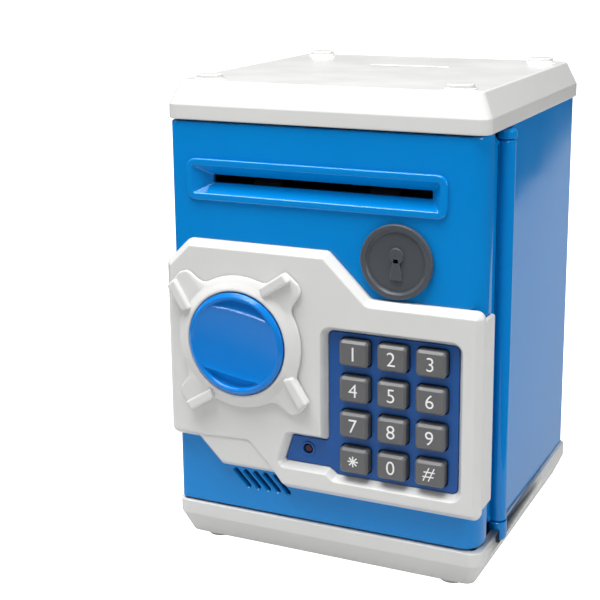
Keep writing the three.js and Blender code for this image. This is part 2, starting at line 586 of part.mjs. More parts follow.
// ---- inner cover of the door with the battery compartment ----
function buildInnerCover() {
  const plate = panel(rectangle(-56.2, 57.6, 19.8, 168.2, 2), COVER_BACK, 38.8);
  const box = panel(rectangle(6.4, 54.1, 38, 97, 1), 38, 54.4);
  const screwBoss = boss(30.2, 35.4, 3, 38, 46);
  const holes = COVER_SCREW_SPOTS.map(([x, z]) => boss(x, z, 1.6, 30, 45));
  addPiece("door_inner_cover", cut(
    join(plate, box, screwBoss), ...holes,
    panel(rectangle(7.9, 52.6, 39.5, 95.5, 0.5), 30, 53.3),
    boss(30.2, 35.4, 1.4, 30, 44),
    panel(rectangle(-49, 45, 145, 153, 2), 30, 45),
  ), GREY);
  const lid = cut(
    join(
      panel(rectangle(5.4, 55, 32.6, 98, 3), 34.9, 36.5),
      ...Array.from({ length: 5 }, (_, i) => panel(rectangle(20, 40.4, 84 + 2.4 * i, 85.2 + 2.4 * i), 34.4, 35)),
    ),
    boss(30.2, 35.4, 1.6, 30, 40),
  );
  addPiece("battery_lid", lid, GREY);
  KEY_COLUMNS.forEach((x, i) => {
    const flip = i % 2;
    const top = CELL_BOTTOM + CELL_LENGTH;
    const nub = flip ? post(x, -CELL_OUT, 2.6, CELL_BOTTOM - 1.2, CELL_BOTTOM + 1) : post(x, -CELL_OUT, 2.6, top - 1, top + 1.2);
    addPiece(`battery_${i + 1}`, join(post(x, -CELL_OUT, CELL_RADIUS, CELL_BOTTOM, top, 28), nub), STEEL);
  });
  const contact = (z0, z1) => block(8.4, 52.1, -51, -41, z0, z1);
  addPiece("battery_contact_top", contact(94.2, 94.9), STEEL);
  addPiece("battery_contact_bottom", contact(39.9, 40.6), STEEL);
  COVER_SCREW_SPOTS.forEach(([x, z], i) => {
    addPiece(`cover_screw_${i + 1}`, screw(2.4, 1.15, 12).rotate([90, 0, 0]).translate([x, -36.5, z]), STEEL);
  });
  addPiece("battery_lid_screw", screw(2.4, 1.1, 8).rotate([90, 0, 0]).translate([30.2, -34.6, 35.4]), STEEL);
}

buildBase();
buildLid();
buildBody();
buildBaseScrews();
buildDoorShell();
buildFascia();
buildKeypad();
buildBadge();
buildDial();
buildSolenoid();
buildFeed();
buildSpeaker();
buildInnerCover();

export default bank;
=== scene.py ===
"""Looks of a toy savings bank shaped like a small safe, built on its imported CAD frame.

Every shape is worked out in millimetres from the case's middle: x to the right seen from the front, y to the
back, z up from the feet. "Out" is how far a point of the door stands in front of the case's middle.
"""

import logging
import math
from dataclasses import dataclass
from enum import Enum
from typing import Sequence

import bmesh
import bpy
import numpy as np
from mathutils import Matrix, Vector, geometry


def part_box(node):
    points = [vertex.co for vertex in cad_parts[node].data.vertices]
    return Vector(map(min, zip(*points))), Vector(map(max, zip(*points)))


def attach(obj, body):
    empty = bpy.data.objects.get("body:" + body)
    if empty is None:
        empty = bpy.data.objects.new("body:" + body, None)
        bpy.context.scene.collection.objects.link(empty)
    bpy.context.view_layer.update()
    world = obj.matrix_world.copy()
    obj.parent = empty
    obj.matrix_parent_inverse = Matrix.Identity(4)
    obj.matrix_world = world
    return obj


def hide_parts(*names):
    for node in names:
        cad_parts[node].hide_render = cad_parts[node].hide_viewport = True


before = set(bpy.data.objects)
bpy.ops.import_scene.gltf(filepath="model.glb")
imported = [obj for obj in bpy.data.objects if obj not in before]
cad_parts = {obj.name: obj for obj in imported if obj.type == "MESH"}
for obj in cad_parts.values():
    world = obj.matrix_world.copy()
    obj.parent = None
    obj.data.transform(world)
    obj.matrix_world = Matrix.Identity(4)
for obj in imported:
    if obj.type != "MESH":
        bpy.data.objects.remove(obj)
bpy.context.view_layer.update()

LOG = logging.getLogger("savings_bank")
MM = 0.001
SOFTEST = 0.03
SHARP_ANGLE = math.radians(34)
FIRST_COLOUR, SECOND_COLOUR, MIXED_COLOUR = 6, 7, 2
Corners = Sequence[Sequence[float]]
Path = Sequence[Sequence[float]]


# ---- outlines and paths ----
def unit(vectors: np.ndarray) -> np.ndarray:
    """Scales each vector of an array to length one."""
    return vectors / np.linalg.norm(vectors, axis=-1, keepdims=True)


def cross(a: np.ndarray, b: np.ndarray) -> np.ndarray:
    """Signed area spanned by each pair of flat vectors."""
    return a[..., 0] * b[..., 1] - a[..., 1] * b[..., 0]


def arcs(corner: np.ndarray, before: np.ndarray, after: np.ndarray, radius: np.ndarray,
         steps: int) -> np.ndarray:
    """Rounds sharp corners off with circular arcs.

    The arc's centre lies on the corner's bisector, one radius from both sides, and its points run from the
    tangent point on the side before to the one on the side after, at equal angles.

    Args:
        corner: sharp corners, one row each.
        before: unit direction of the side that arrives at each corner.
        after: unit direction of the side that leaves it.
        radius: arc radius at each corner.
        steps: number of chords in each arc.

    Returns:
        Array of corners by steps + 1 by 2.
    """
    half = (np.pi - np.arccos(np.clip((before * after).sum(-1), -1, 1))) / 2
    centre = corner + unit(after - before) * (radius / np.sin(half))[:, None]
    reach = (radius / np.tan(half))[:, None]
    first = corner - before * reach - centre
    last = corner + after * reach - centre
    turn = np.arctan2(cross(first, last), (first * last).sum(-1))
    angle = np.arctan2(first[:, 1], first[:, 0])[:, None] + turn[:, None] * np.linspace(0, 1, steps + 1)
    return centre[:, None] + radius[:, None, None] * np.stack([np.cos(angle), np.sin(angle)], -1)


def table(corners: Corners) -> np.ndarray:
    """Corners as rows of x, y and radius, with no radius read as a sharp corner."""
    return np.array([[*corner, 0.0][:3] for corner in corners], float)


def outline(corners: Corners, inset: float | np.ndarray = 0.0, steps: int = 6) -> np.ndarray:
    """Closed outline with rounded corners, moved inwards by a distance.

    Each side moves inwards along its normal n by its own inset d. A corner between sides 1 and 2 moves by
    a n1 + b n2, where a = (d1 - c d2) / (1 - c c), b = (d2 - c d1) / (1 - c c) and c = n1 . n2. A convex
    corner's radius shrinks by the mean inset and a hollow one's grows, which keeps the offset parallel.

    Args:
        corners: x, y and radius of each corner, anticlockwise if the sides have insets of their own.
        inset: distance to move the sides inwards, one for all or one for each; a negative one grows the outline.
        steps: number of chords in each corner.

    Returns:
        Points anticlockwise, steps + 1 for each corner.
    """
    rows = table(corners)
    if cross(rows[:, :2], np.roll(rows[:, :2], -1, axis=0)).sum() < 0:
        rows = rows[::-1]
    sharp = rows[:, :2]
    along = unit(np.roll(sharp, -1, axis=0) - sharp)
    before = np.roll(along, 1, axis=0)
    inward = np.stack([-along[:, 1], along[:, 0]], -1)
    inward_before = np.roll(inward, 1, axis=0)
    after_by = np.broadcast_to(inset, len(rows))
    before_by = np.roll(after_by, 1)
    share = (inward * inward_before).sum(-1)
    first = (before_by - share * after_by) / (1 - share ** 2)
    second = (after_by - share * before_by) / (1 - share ** 2)
    moved = sharp + inward_before * first[:, None] + inward * second[:, None]
    radius = np.maximum(rows[:, 2] - np.sign(cross(before, along)) * (after_by + before_by) / 2, SOFTEST)
    return arcs(moved, before, along, radius, steps).reshape(-1, 2)


def soft_path(corners: Corners, steps: int = 4) -> np.ndarray:
    """Open path whose inner corners are rounded off with arcs; its two ends stay where they are."""
    rows = table(corners)
    along = unit(np.diff(rows[:, :2], axis=0))
    radius = np.maximum(rows[1:-1, 2], SOFTEST)
    turns = arcs(rows[1:-1, :2], along[:-1], along[1:], radius, steps).reshape(-1, 2)
    return np.concatenate([rows[:1, :2], turns, rows[-1:, :2]])


def rectangle(x0: float, x1: float, y0: float, y1: float, radius: float = 0.0) -> Corners:
    """Corners of a rectangle between two x and two y, all of one radius."""
    return [(x0, y0, radius), (x1, y0, radius), (x1, y1, radius), (x0, y1, radius)]


def turned(points: np.ndarray, degrees: float, centre: Sequence[float]) -> np.ndarray:
    """Turns flat points anticlockwise about the origin, then moves them to a centre."""
    angle = math.radians(degrees)
    matrix = np.array([[math.cos(angle), math.sin(angle)], [-math.sin(angle), math.cos(angle)]])
    return np.asarray(points) @ matrix + np.asarray(centre)


def at_level(points: np.ndarray, level: float | np.ndarray) -> np.ndarray:
    """Adds a third coordinate to flat points."""
    return np.column_stack([points, np.broadcast_to(level, len(points))])


def carry(corners: Corners, path: Path, steps: int = 6) -> np.ndarray:
    """Rings of an outline carried along a path of inset and level."""
    return np.stack([at_level(outline(corners, inset, steps), level) for inset, level in path])


def circles(path: Path, centre: Sequence[float], around: int = 64) -> np.ndarray:
    """Rings of circles about a centre along a path of radius and level."""
    rows = np.asarray(path, float)
    angle = np.linspace(0, 2 * np.pi, around, endpoint=False)
    circle = np.stack([np.cos(angle), np.sin(angle)], -1)
    flat = rows[:, 0, None, None] * circle + np.asarray(centre)
    level = np.broadcast_to(rows[:, 1, None, None], (*flat.shape[:2], 1))
    return np.concatenate([flat, level], -1)


# ---- meshes ----
class Lying(Enum):
    """Where a moulding's own u, v and w run: its outline lies in u and v, and w is its thickness."""

    FLAT = ((1, 0, 0), (0, 1, 0), (0, 0, 1))
    FRONT = ((1, 0, 0), (0, 0, 1), (0, -1, 0))
    SIDE = ((0, 1, 0), (0, 0, 1), (1, 0, 0))


class Moulding:
    """One piece while it is being shaped: closed skins of rings, gathered into one mesh."""

    def __init__(self, name: str, lying: Lying = Lying.FRONT) -> None:
        """Starts an empty piece whose skins lie one way unless a call says otherwise."""
        self.name = name
        self.lying = lying
        self.points: list[np.ndarray] = []
        self.faces: list[np.ndarray] = []
        self.count = 0

    def skin(self, rings: np.ndarray, holes: Sequence[np.ndarray] = (), looped: bool = False,
             lying: Lying | None = None, pockets: Sequence[np.ndarray] = ()) -> "Moulding":
        """Adds one closed skin: bands of quads between rings, and flat faces over its two ends.

        Args:
            rings: rings by points by u, v and w, anticlockwise, from the back face's edge to the front face's.
            holes: the same for each hole through both flat faces.
            looped: True if the last ring joins the first, so there are no flat faces.
            lying: which way this skin lies, if not as the piece does.
            pockets: the same for each blind hole in the back face, closed by a flat face at its last ring.

        Returns:
            The piece, so that calls can follow each other.
        """
        stacks = [rings, *holes, *pockets]
        starts = self.count + np.cumsum([0] + [s.shape[0] * s.shape[1] for s in stacks])
        index = [start + np.arange(s.shape[0] * s.shape[1]).reshape(s.shape[:2]) for start,
                 s in zip(starts, stacks)]
        for number, rows in enumerate(index):
            rows = np.vstack([rows, rows[:1]]) if looped else rows
            low, high = rows[:-1], rows[1:]
            quads = np.stack([low, np.roll(low, -1, 1), np.roll(high, -1, 1), high], -1).reshape(-1, 4)
            self.faces.append(quads[:, ::-1] if number else quads)
        through = 1 + len(holes)
        ends = [] if looped else [(range(len(stacks)), 0, -1), (range(through), -1, 1)]
        ends += [((number,), -1, -1) for number in range(through, len(stacks))]
        for which, end, order in ends:
            flat = triangles([stacks[number][end][:, :2] for number in which])
            ids = np.concatenate([index[number][end] for number in which])
            self.faces.append(ids[flat][:, ::order])
        local = np.concatenate([s.reshape(-1, 3) for s in stacks])
        self.points.append(local @ np.array((lying or self.lying).value, float))
        self.count = starts[-1]
        return self

    def block(self, low: Sequence[float], high: Sequence[float], soft: float = 0.3) -> "Moulding":
        """Adds a block between two corners in x, y and z, with all its edges softened."""
        path = soft_path([(soft, low[2]), (0, low[2] + soft), (0, high[2] - soft), (soft, high[2])])
        return self.skin(carry(rectangle(low[0], high[0], low[1], high[1], soft), path, 3), lying=Lying.FLAT)

    def finish(self, finish: "Finish", body: str, stands_for: Sequence[str] = ()) -> bpy.types.Object:
        """Makes the piece's object, in the frame's metres, and dresses it."""
        points = (np.concatenate(self.points) + DATUM) * MM
        return shown(self.name, points, [row for faces in self.faces for row in faces.tolist()],
                     finish, body, stands_for)


def triangles(loops: Sequence[np.ndarray]) -> np.ndarray:
    """Fills the space inside the first flat loop and outside the others with Delaunay triangles.

    Args:
        loops: the outer loop, then the holes' loops.

    Returns:
        Rows of three point numbers, anticlockwise, counted through all the loops in order.
    """
    points = np.concatenate(loops)
    ends = np.cumsum([len(loop) for loop in loops])
    polygons = [list(range(end - len(loop), end)) for loop, end in zip(loops, ends)]
    vectors = [Vector(point) for point in points.tolist()]
    _, _, faces, origins, _, inside = geometry.delaunay_2d_cdt(vectors, [], polygons, 1, 1e-7, True)
    kept = np.array([face for face, owners in zip(faces, inside) if set(owners) == {0}])
    known = np.array([origin[0] for origin in origins])[kept]
    a, b, c = (points[known[:, k]] for k in range(3))
    known[cross(b - a, c - a) < 0] = known[cross(b - a, c - a) < 0][:, ::-1]
    return known


def shown(name: str, points: np.ndarray, faces: list[list[int]], finish: "Finish", body: str,
          stands_for: Sequence[str] = ()) -> bpy.types.Object:
    """Puts points in metres and faces into a mesh object that rides on a body.

    Args:
        name: the piece's name.
        points: one row for each vertex.
        faces: vertex numbers of each face.
        finish: what the piece is made of.
        body: the CAD body that it moves with.
        stands_for: the CAD nodes that it replaces.

    Returns:
        The new object.
    """
    mesh = bpy.data.meshes.new(name)
    mesh.from_pydata(points.tolist(), [], faces)
    shape = bmesh.new()
    shape.from_mesh(mesh)
    bmesh.ops.remove_doubles(shape, verts=shape.verts, dist=1e-7)
    bmesh.ops.dissolve_degenerate(shape, edges=shape.edges, dist=1e-7)
    gaps = sum(not edge.is_manifold for edge in shape.edges)
    shape.to_mesh(mesh)
    shape.free()
    return place(bpy.data.objects.new(name, mesh), finish, body, stands_for, gaps)


def place(piece: bpy.types.Object, finish: "Finish", body: str, stands_for: Sequence[str],
          gaps: int = 0) -> bpy.types.Object:
    """Smooths a piece, dresses it, joins it to its body and reports it."""
    bpy.context.scene.collection.objects.link(piece)
    piece.data.shade_smooth()
    piece.data.set_sharp_from_angle(angle=SHARP_ANGLE)
    weighted = piece.modifiers.new("face_weights", "WEIGHTED_NORMAL")
    weighted.keep_sharp = True
    weighted.weight = 80
    piece.data.materials.clear()
    piece.data.materials.append(finish.material())
    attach(piece, body)
    if stands_for:
        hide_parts(*stands_for)
    LOG.info("%s: %d faces, %d edges without two faces, on %s", piece.name, len(piece.data.polygons), gaps,
             body)
    return piece


def refined(node: str, finish: "Finish", body: str, edge: float = 0.25) -> bpy.types.Object:
    """Copies a CAD node, merges its flat faces and softens its edges.

    Args:
        node: the CAD node that the copy stands for.
        finish: what it is made of.
        body: the body that it rides on.
        edge: width of its softened edges in millimetres.

    Returns:
        The new object.
    """
    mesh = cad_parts[node].data.copy()
    shape = bmesh.new()
    shape.from_mesh(mesh)
    bmesh.ops.remove_doubles(shape, verts=shape.verts, dist=1e-6)
    bmesh.ops.dissolve_limit(shape, angle_limit=math.radians(0.6), verts=shape.verts, edges=shape.edges)
    gaps = sum(not e.is_manifold for e in shape.edges)
    shape.to_mesh(mesh)
    shape.free()
    mesh.name = f"fine_{node}"
    piece = bpy.data.objects.new(f"fine_{node}", mesh)
    if edge:
        bevel = piece.modifiers.new("soft_edges", "BEVEL")
        bevel.width = edge * MM
        bevel.segments = 2
        bevel.limit_method = "ANGLE"
        bevel.angle_limit = math.radians(40)
    return place(piece, finish, body, [node], gaps)


# ---- shader groups ----
class Graph:
    """Adds and joins the nodes of one shader tree."""

    def __init__(self, tree: bpy.types.NodeTree) -> None:
        """Takes the tree to add nodes to."""
        self.tree = tree

    def add(self, kind: str, links: dict[str | int, object] | None = None,
            **settings: object) -> bpy.types.Node:
        """Adds a node, sets its properties, and sets or joins its inputs.

        Args:
            kind: the node's Blender type.
            links: value or output socket for each input, by name or number.
            **settings: properties of the node.

        Returns:
            The new node.
        """
        node = self.tree.nodes.new(kind)
        for key, value in settings.items():
            setattr(node, key, value)
        for key, value in (links or {}).items():
            if isinstance(value, bpy.types.NodeSocket):
                self.tree.links.new(value, node.inputs[key])
            else:
                node.inputs[key].default_value = value
        return node

    def maths(self, operation: str, first: object, second: object = 0.0,
              clamp: bool = False) -> bpy.types.NodeSocket:
        """Adds a Math node and returns its output."""
        return self.add("ShaderNodeMath", {0: first, 1: second}, operation=operation,
                        use_clamp=clamp).outputs[0]

    def noise(self, place_socket: bpy.types.NodeSocket, scale: object, detail: float = 2.0,
              rough: float = 0.5) -> bpy.types.NodeSocket:
        """Adds a noise texture and returns its factor."""
        links = {"Vector": place_socket, "Scale": scale, "Detail": detail, "Roughness": rough}
        return self.add("ShaderNodeTexNoise", links).outputs["Fac"]

    def spread(self, value: object, low: float, high: float, to_low: float = 0.0,
               to_high: float = 1.0) -> bpy.types.NodeSocket:
        """Maps a value from one range to another, clamped, and returns the result."""
        links = {"Value": value, "From Min": low, "From Max": high, "To Min": to_low, "To Max": to_high}
        return self.add("ShaderNodeMapRange", links).outputs["Result"]


def group(name: str, inputs: dict[str, object],
          outputs: dict[str, str]) -> tuple[bpy.types.NodeTree, Graph, bpy.types.Node, bpy.types.Node]:
    """Starts a shader node group with named sockets.

    Args:
        name: the group's name.
        inputs: default of each input; a tuple of three is a place, one of four a colour, a number a value.
        outputs: socket type of each output.

    Returns:
        The tree, its graph, and its input and output nodes.
    """
    tree = bpy.data.node_groups.new(name, "ShaderNodeTree")
    kinds = {3: "NodeSocketVector", 4: "NodeSocketColor"}
    for key, value in inputs.items():
        kind = kinds[len(value)] if isinstance(value, tuple) else "NodeSocketFloat"
        socket = tree.interface.new_socket(key, in_out="INPUT", socket_type=kind)
        socket.default_value = value
    for key, kind in outputs.items():
        tree.interface.new_socket(key, in_out="OUTPUT", socket_type=kind)
    return tree, Graph(tree), tree.nodes.new("NodeGroupInput"), tree.nodes.new("NodeGroupOutput")


def moulded_skin() -> bpy.types.NodeTree:
    """Fine swell of a polished mould, its finer spark texture, and hairline rubs that dull the gloss."""
    tree, graph, given, result = group(
        "moulded_skin", {"Place": (0.0, 0.0, 0.0), "Swell": 90.0, "Spark": 1600.0, "Spark Share": 0.3},
        {"Height": "NodeSocketFloat", "Rub": "NodeSocketFloat"})
    swell = graph.noise(given.outputs["Place"], given.outputs["Swell"], 2.0, 0.4)
    spark = graph.noise(given.outputs["Place"], given.outputs["Spark"], 3.0, 0.6)
    share = graph.maths("MULTIPLY", spark, given.outputs["Spark Share"])
    tree.links.new(graph.maths("ADD", swell, share), result.inputs["Height"])
    drawn = graph.add("ShaderNodeMapping", {"Vector": given.outputs["Place"], "Rotation": (0.3, 0.5, 0.9),
                                            "Scale": (60.0, 900.0, 60.0)})
    hairs = graph.spread(graph.noise(drawn.outputs[0], 1.0, 2.0), 0.56, 0.72)
    cloud = graph.spread(graph.noise(given.outputs["Place"], 38.0, 3.0), 0.4, 0.7)
    rub = graph.maths("ADD", graph.maths("MULTIPLY", hairs, 0.35), graph.maths("MULTIPLY", cloud, 0.65), True)
    tree.links.new(rub, result.inputs["Rub"])
    return tree


def colour_drift() -> bpy.types.NodeTree:
    """Slow drift of a colour between itself and a second one, with faint flow marks from the mould's gate."""
    tree, graph, given, result = group(
        "colour_drift", {"Place": (0.0, 0.0, 0.0), "Colour": (0.5, 0.5, 0.5, 1.0),
                         "Second": (0.4, 0.4, 0.4, 1.0),
                         "Amount": 0.3, "Size": 22.0}, {"Colour": "NodeSocketColor"})
    cloud = graph.noise(given.outputs["Place"], given.outputs["Size"], 3.0, 0.55)
    flow = graph.add("ShaderNodeMapping", {"Vector": given.outputs["Place"], "Scale": (30.0, 30.0, 7.0)})
    streak = graph.noise(flow.outputs[0], 1.0, 4.0, 0.6)
    blend = graph.spread(graph.maths("ADD", cloud, graph.maths("MULTIPLY", streak, 0.5)), 0.55, 0.95)
    factor = graph.maths("MULTIPLY", blend, given.outputs["Amount"], True)
    mix = graph.add("ShaderNodeMix", {0: factor}, data_type="RGBA")
    tree.links.new(given.outputs["Colour"], mix.inputs[FIRST_COLOUR])
    tree.links.new(given.outputs["Second"], mix.inputs[SECOND_COLOUR])
    tree.links.new(mix.outputs[MIXED_COLOUR], result.inputs["Colour"])
    return tree


def edge_wear() -> bpy.types.NodeTree:
    """Mask of edges rubbed by handling, which on the keys also paints a highlight on their bevels: where a
    softened normal leaves the true one, broken up by noise.
    """
    tree, graph, given, result = group(
        "edge_wear", {"Place": (0.0, 0.0, 0.0), "Reach": 0.0005, "Amount": 0.5}, {"Mask": "NodeSocketFloat"})
    soft = graph.add("ShaderNodeBevel", {"Radius": given.outputs["Reach"]}, samples=4)
    true = graph.add("ShaderNodeNewGeometry")
    dot = graph.add("ShaderNodeVectorMath", {0: soft.outputs[0], 1: true.outputs["Normal"]},
                    operation="DOT_PRODUCT")
    edge = graph.spread(dot.outputs["Value"], 0.995, 0.86)
    chips = graph.spread(graph.noise(given.outputs["Place"], 420.0, 4.0, 0.7), 0.42, 0.66)
    mask = graph.maths("MULTIPLY", graph.maths("MULTIPLY", edge, chips), given.outputs["Amount"], True)
    tree.links.new(mask, result.inputs["Mask"])
    return tree


def drawn_grain() -> bpy.types.NodeTree:
    """Long fine scratches of drawn or rolled metal, as a height and a gloss mask."""
    tree, graph, given, result = group(
        "drawn_grain", {"Place": (0.0, 0.0, 0.0), "Stretch": (4000.0, 4000.0, 90.0)},
        {"Height": "NodeSocketFloat", "Rub": "NodeSocketFloat"})
    stretched = graph.add("ShaderNodeVectorMath", {0: given.outputs["Place"], 1: given.outputs["Stretch"]},
                          operation="MULTIPLY")
    lines = graph.noise(stretched.outputs[0], 1.0, 3.0, 0.6)
    tree.links.new(lines, result.inputs["Height"])
    stains = graph.spread(graph.noise(given.outputs["Place"], 160.0, 3.0), 0.35, 0.75)
    tree.links.new(graph.maths("MULTIPLY", stains, lines), result.inputs["Rub"])
    return tree


class Shared(Enum):
    """Shader groups that several finishes use, each with the function that builds it."""

    MOULDED_SKIN = "moulded_skin"
    COLOUR_DRIFT = "colour_drift"
    EDGE_WEAR = "edge_wear"
    DRAWN_GRAIN = "drawn_grain"

    def tree(self) -> bpy.types.NodeTree:
        """The group's tree, built the first time it is asked for."""
        makers = {"moulded_skin": moulded_skin, "colour_drift": colour_drift, "edge_wear": edge_wear,
                  "drawn_grain": drawn_grain}
        return bpy.data.node_groups.get(self.value) or makers[self.value]()


def colour(code: str) -> tuple[float, float, float, float]:
    """Linear colour from six hexadecimal digits of a screen colour."""
    screen = [int(code[i:i + 2], 16) / 255 for i in (0, 2, 4)]
    linear = [c / 12.92 if c <= 0.04045 else ((c + 0.055) / 1.055) ** 2.4 for c in screen]
    return (*linear, 1.0)


# ---- finishes ----
@dataclass(frozen=True)
class Finish:
    """What a piece is made of.

    Attributes:
        name: the material's name.
        slot: the record's material slot; not used.
        base: main colour.
        second: colour that it drifts to.
        worn: colour of its rubbed edges, and on the keys of a painted highlight along their bevels.
        roughness: roughness where it is cleanest.
        rubbed: roughness where it is most handled.
        drift: how far the colour drifts.
        relief: height of the surface texture in millimetres.
        swell: how many swells of the surface go to a metre.
        spark: how many grains of the texture go to a metre.
        spark_share: height of the grains against the swells.
        wear: how strongly edges are rubbed, and on the keys how strongly their bevels get a painted highlight.
        level: specular level.
        metal: True for bare metal.
    """

    name: str
    slot: str
    base: str
    second: str
    worn: str
    roughness: float = 0.25
    rubbed: float = 0.35
    drift: float = 0.3
    relief: float = 0.004
    swell: float = 90.0
    spark: float = 1600.0
    spark_share: float = 0.3
    wear: float = 0.35
    level: float = 0.5
    metal: bool = False

    def material(self) -> bpy.types.Material:
        """The finish's material, built the first time it is asked for."""
        return bpy.data.materials.get(self.name) or self.build()

    def build(self) -> bpy.types.Material:
        """Builds the node tree: drifting colour, lighter rubbed edges that on the keys are also a painted
        highlight, uneven gloss and a fine relief.
        """
        material = bpy.data.materials.new(self.name)
        material.use_nodes = True
        tree = material.node_tree
        tree.nodes.clear()
        graph = Graph(tree)
        spot = graph.add("ShaderNodeTexCoord").outputs["Object"]
        drift = graph.add("ShaderNodeGroup", node_tree=Shared.COLOUR_DRIFT.tree())
        tree.links.new(spot, drift.inputs["Place"])
        drift.inputs["Colour"].default_value = colour(self.base)
        drift.inputs["Second"].default_value = colour(self.second)
        drift.inputs["Amount"].default_value = self.drift
        wear = graph.add("ShaderNodeGroup", node_tree=Shared.EDGE_WEAR.tree())
        tree.links.new(spot, wear.inputs["Place"])
        wear.inputs["Amount"].default_value = self.wear
        mix = graph.add("ShaderNodeMix", data_type="RGBA")
        tree.links.new(wear.outputs["Mask"], mix.inputs[0])
        tree.links.new(drift.outputs["Colour"], mix.inputs[FIRST_COLOUR])
        mix.inputs[SECOND_COLOUR].default_value = colour(self.worn)
        skin = graph.add("ShaderNodeGroup",
                         node_tree=(Shared.DRAWN_GRAIN if self.metal else Shared.MOULDED_SKIN).tree())
        tree.links.new(spot, skin.inputs["Place"])
        if not self.metal:
            skin.inputs["Swell"].default_value = self.swell
            skin.inputs["Spark"].default_value = self.spark
            skin.inputs["Spark Share"].default_value = self.spark_share
        gloss = graph.spread(graph.maths("ADD", skin.outputs["Rub"], wear.outputs["Mask"], True), 0.0, 1.0,
                             self.roughness, self.rubbed)
        bump = graph.add("ShaderNodeBump", {"Height": skin.outputs["Height"], "Distance": self.relief * MM,
                                            "Strength": 1.0})
        shader = graph.add("ShaderNodeBsdfPrincipled", {"Base Color": mix.outputs[MIXED_COLOUR],
                                                        "Roughness": gloss,
                                                        "Normal": bump.outputs[0]})
        shader.inputs["Metallic"].default_value = 1.0 if self.metal else 0.0
        shader.inputs["Specular IOR Level"].default_value = self.level
        output = graph.add("ShaderNodeOutputMaterial")
        tree.links.new(shader.outputs[0], output.inputs["Surface"])
        return material


BLUE = Finish("gloss_blue_plastic", "blue_plastic", "0285d3", "017bc8", "36a0e0", 0.07, 0.11, 0.35)
# Painted shade: the keypad panel is the door's blue, made darker for the shade in its recess.
SHADED_BLUE = Finish("satin_blue_painted_shade", "deep_blue_plastic", "0656a4", "064e98", "1f6cb4", 0.3, 0.42, 0.4)
CAP_BLUE = Finish("cap_blue_plastic", "blue_plastic", "047ad2", "0470c4", "3f9be4", 0.15, 0.24, 0.35)
WHITE = Finish("gloss_white_plastic", "white_plastic", "d9d9d7", "d3d3d0", "e6e6e4", 0.2, 0.27, 0.3)
# The keys' light grey edges at nearly full strength are a painted highlight on their bevels, over some real
# rubbing.
KEY_GREY = Finish("satin_key_grey", "key_grey", "676768", "5f5f61", "b0b0b2", 0.36, 0.48, 0.5, relief=0.006,
                  spark=2600.0, spark_share=0.8, wear=0.95)
KEY_PRINT = Finish("key_print_white", "white_plastic", "f2f2f0", "e4e4e1", "d8d8d4", 0.45, 0.6, 0.4, wear=0.2)
BADGE_GREY = Finish("badge_grey_plastic", "badge_grey", "4e5359", "474c52", "868a90", 0.32, 0.46, 0.5,
                    relief=0.008,
                    spark=1900.0, spark_share=0.7, wear=0.6)
INNER_GREY = Finish("matt_inner_grey", "inner_grey", "6e7073", "646669", "8b8d90", 0.45, 0.6, 0.5,
                    relief=0.012,
                    spark=1500.0, spark_share=0.9)
BLACK = Finish("matt_black_plastic", "black_plastic", "1d1e20", "252628", "3c3e41", 0.5, 0.65, 0.5,
               relief=0.012,
               spark=1500.0, spark_share=0.9)
SILICONE = Finish("grey_silicone", "silicone", "8d8f92", "85878a", "a2a4a7", 0.55, 0.7, 0.3)
RUBBER = Finish("moulded_roller_rubber", "roller_rubber", "2a2a2c", "333335", "454548", 0.7, 0.9, 0.5,
                relief=0.02,
                spark=1200.0, spark_share=1.2)
LAMP_RED = Finish("lamp_red_resin", "lamp_red", "4a0d14", "3a0a10", "6a2028", 0.12, 0.2, 0.3)
BOARD_GREEN = Finish("circuit_board_green", "board_green", "1c6a3a", "165a30", "8a9a5c", 0.35, 0.5, 0.6)
STEEL = Finish("drawn_steel", "steel", "b9bcc0", "a4a7ac", "d4d6d9", 0.3, 0.5, 0.6, relief=0.003, metal=True)
BATTERY = Finish("printed_battery_jacket", "battery_jacket", "3b3f46", "4a4e55", "9a9da2", 0.28, 0.42, 0.6)


# ---- the case ----
def frame_datum() -> np.ndarray:
    """The case's middle in the frame, in millimetres: half way across the lid, at the height of the feet."""
    low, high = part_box("lid_cover")
    return np.array([(low.x + high.x) / 2, (low.y + high.y) / 2, 0.0]) / MM


DATUM = frame_datum()


def spot(node: str) -> np.ndarray:
    """Middle of a CAD node's box, in millimetres from the case's middle."""
    low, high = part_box(node)
    return (np.array(low) + np.array(high)) / 2 / MM - DATUM


def rod(radius: float, low: float, high: float, centre: Sequence[float], around: int = 40,
        soft: float = 0.3) -> np.ndarray:
    """Rings of a round bar with softened ends."""
    path = soft_path([(radius - soft, low), (radius, low + soft), (radius, high - soft),
                      (radius - soft, high)])
    return circles(path, centre, around)


def tube(radius: float, bore: float, low: float, high: float, centre: Sequence[float], around: int = 40,
         soft: float = 0.3) -> np.ndarray:
    """Looped rings of a round tube with softened outer ends."""
    path = [(bore, low), (radius - soft, low), (radius, low + soft), (radius, high - soft),
            (radius - soft, high),
            (bore, high)]
    return circles(path, centre, around)


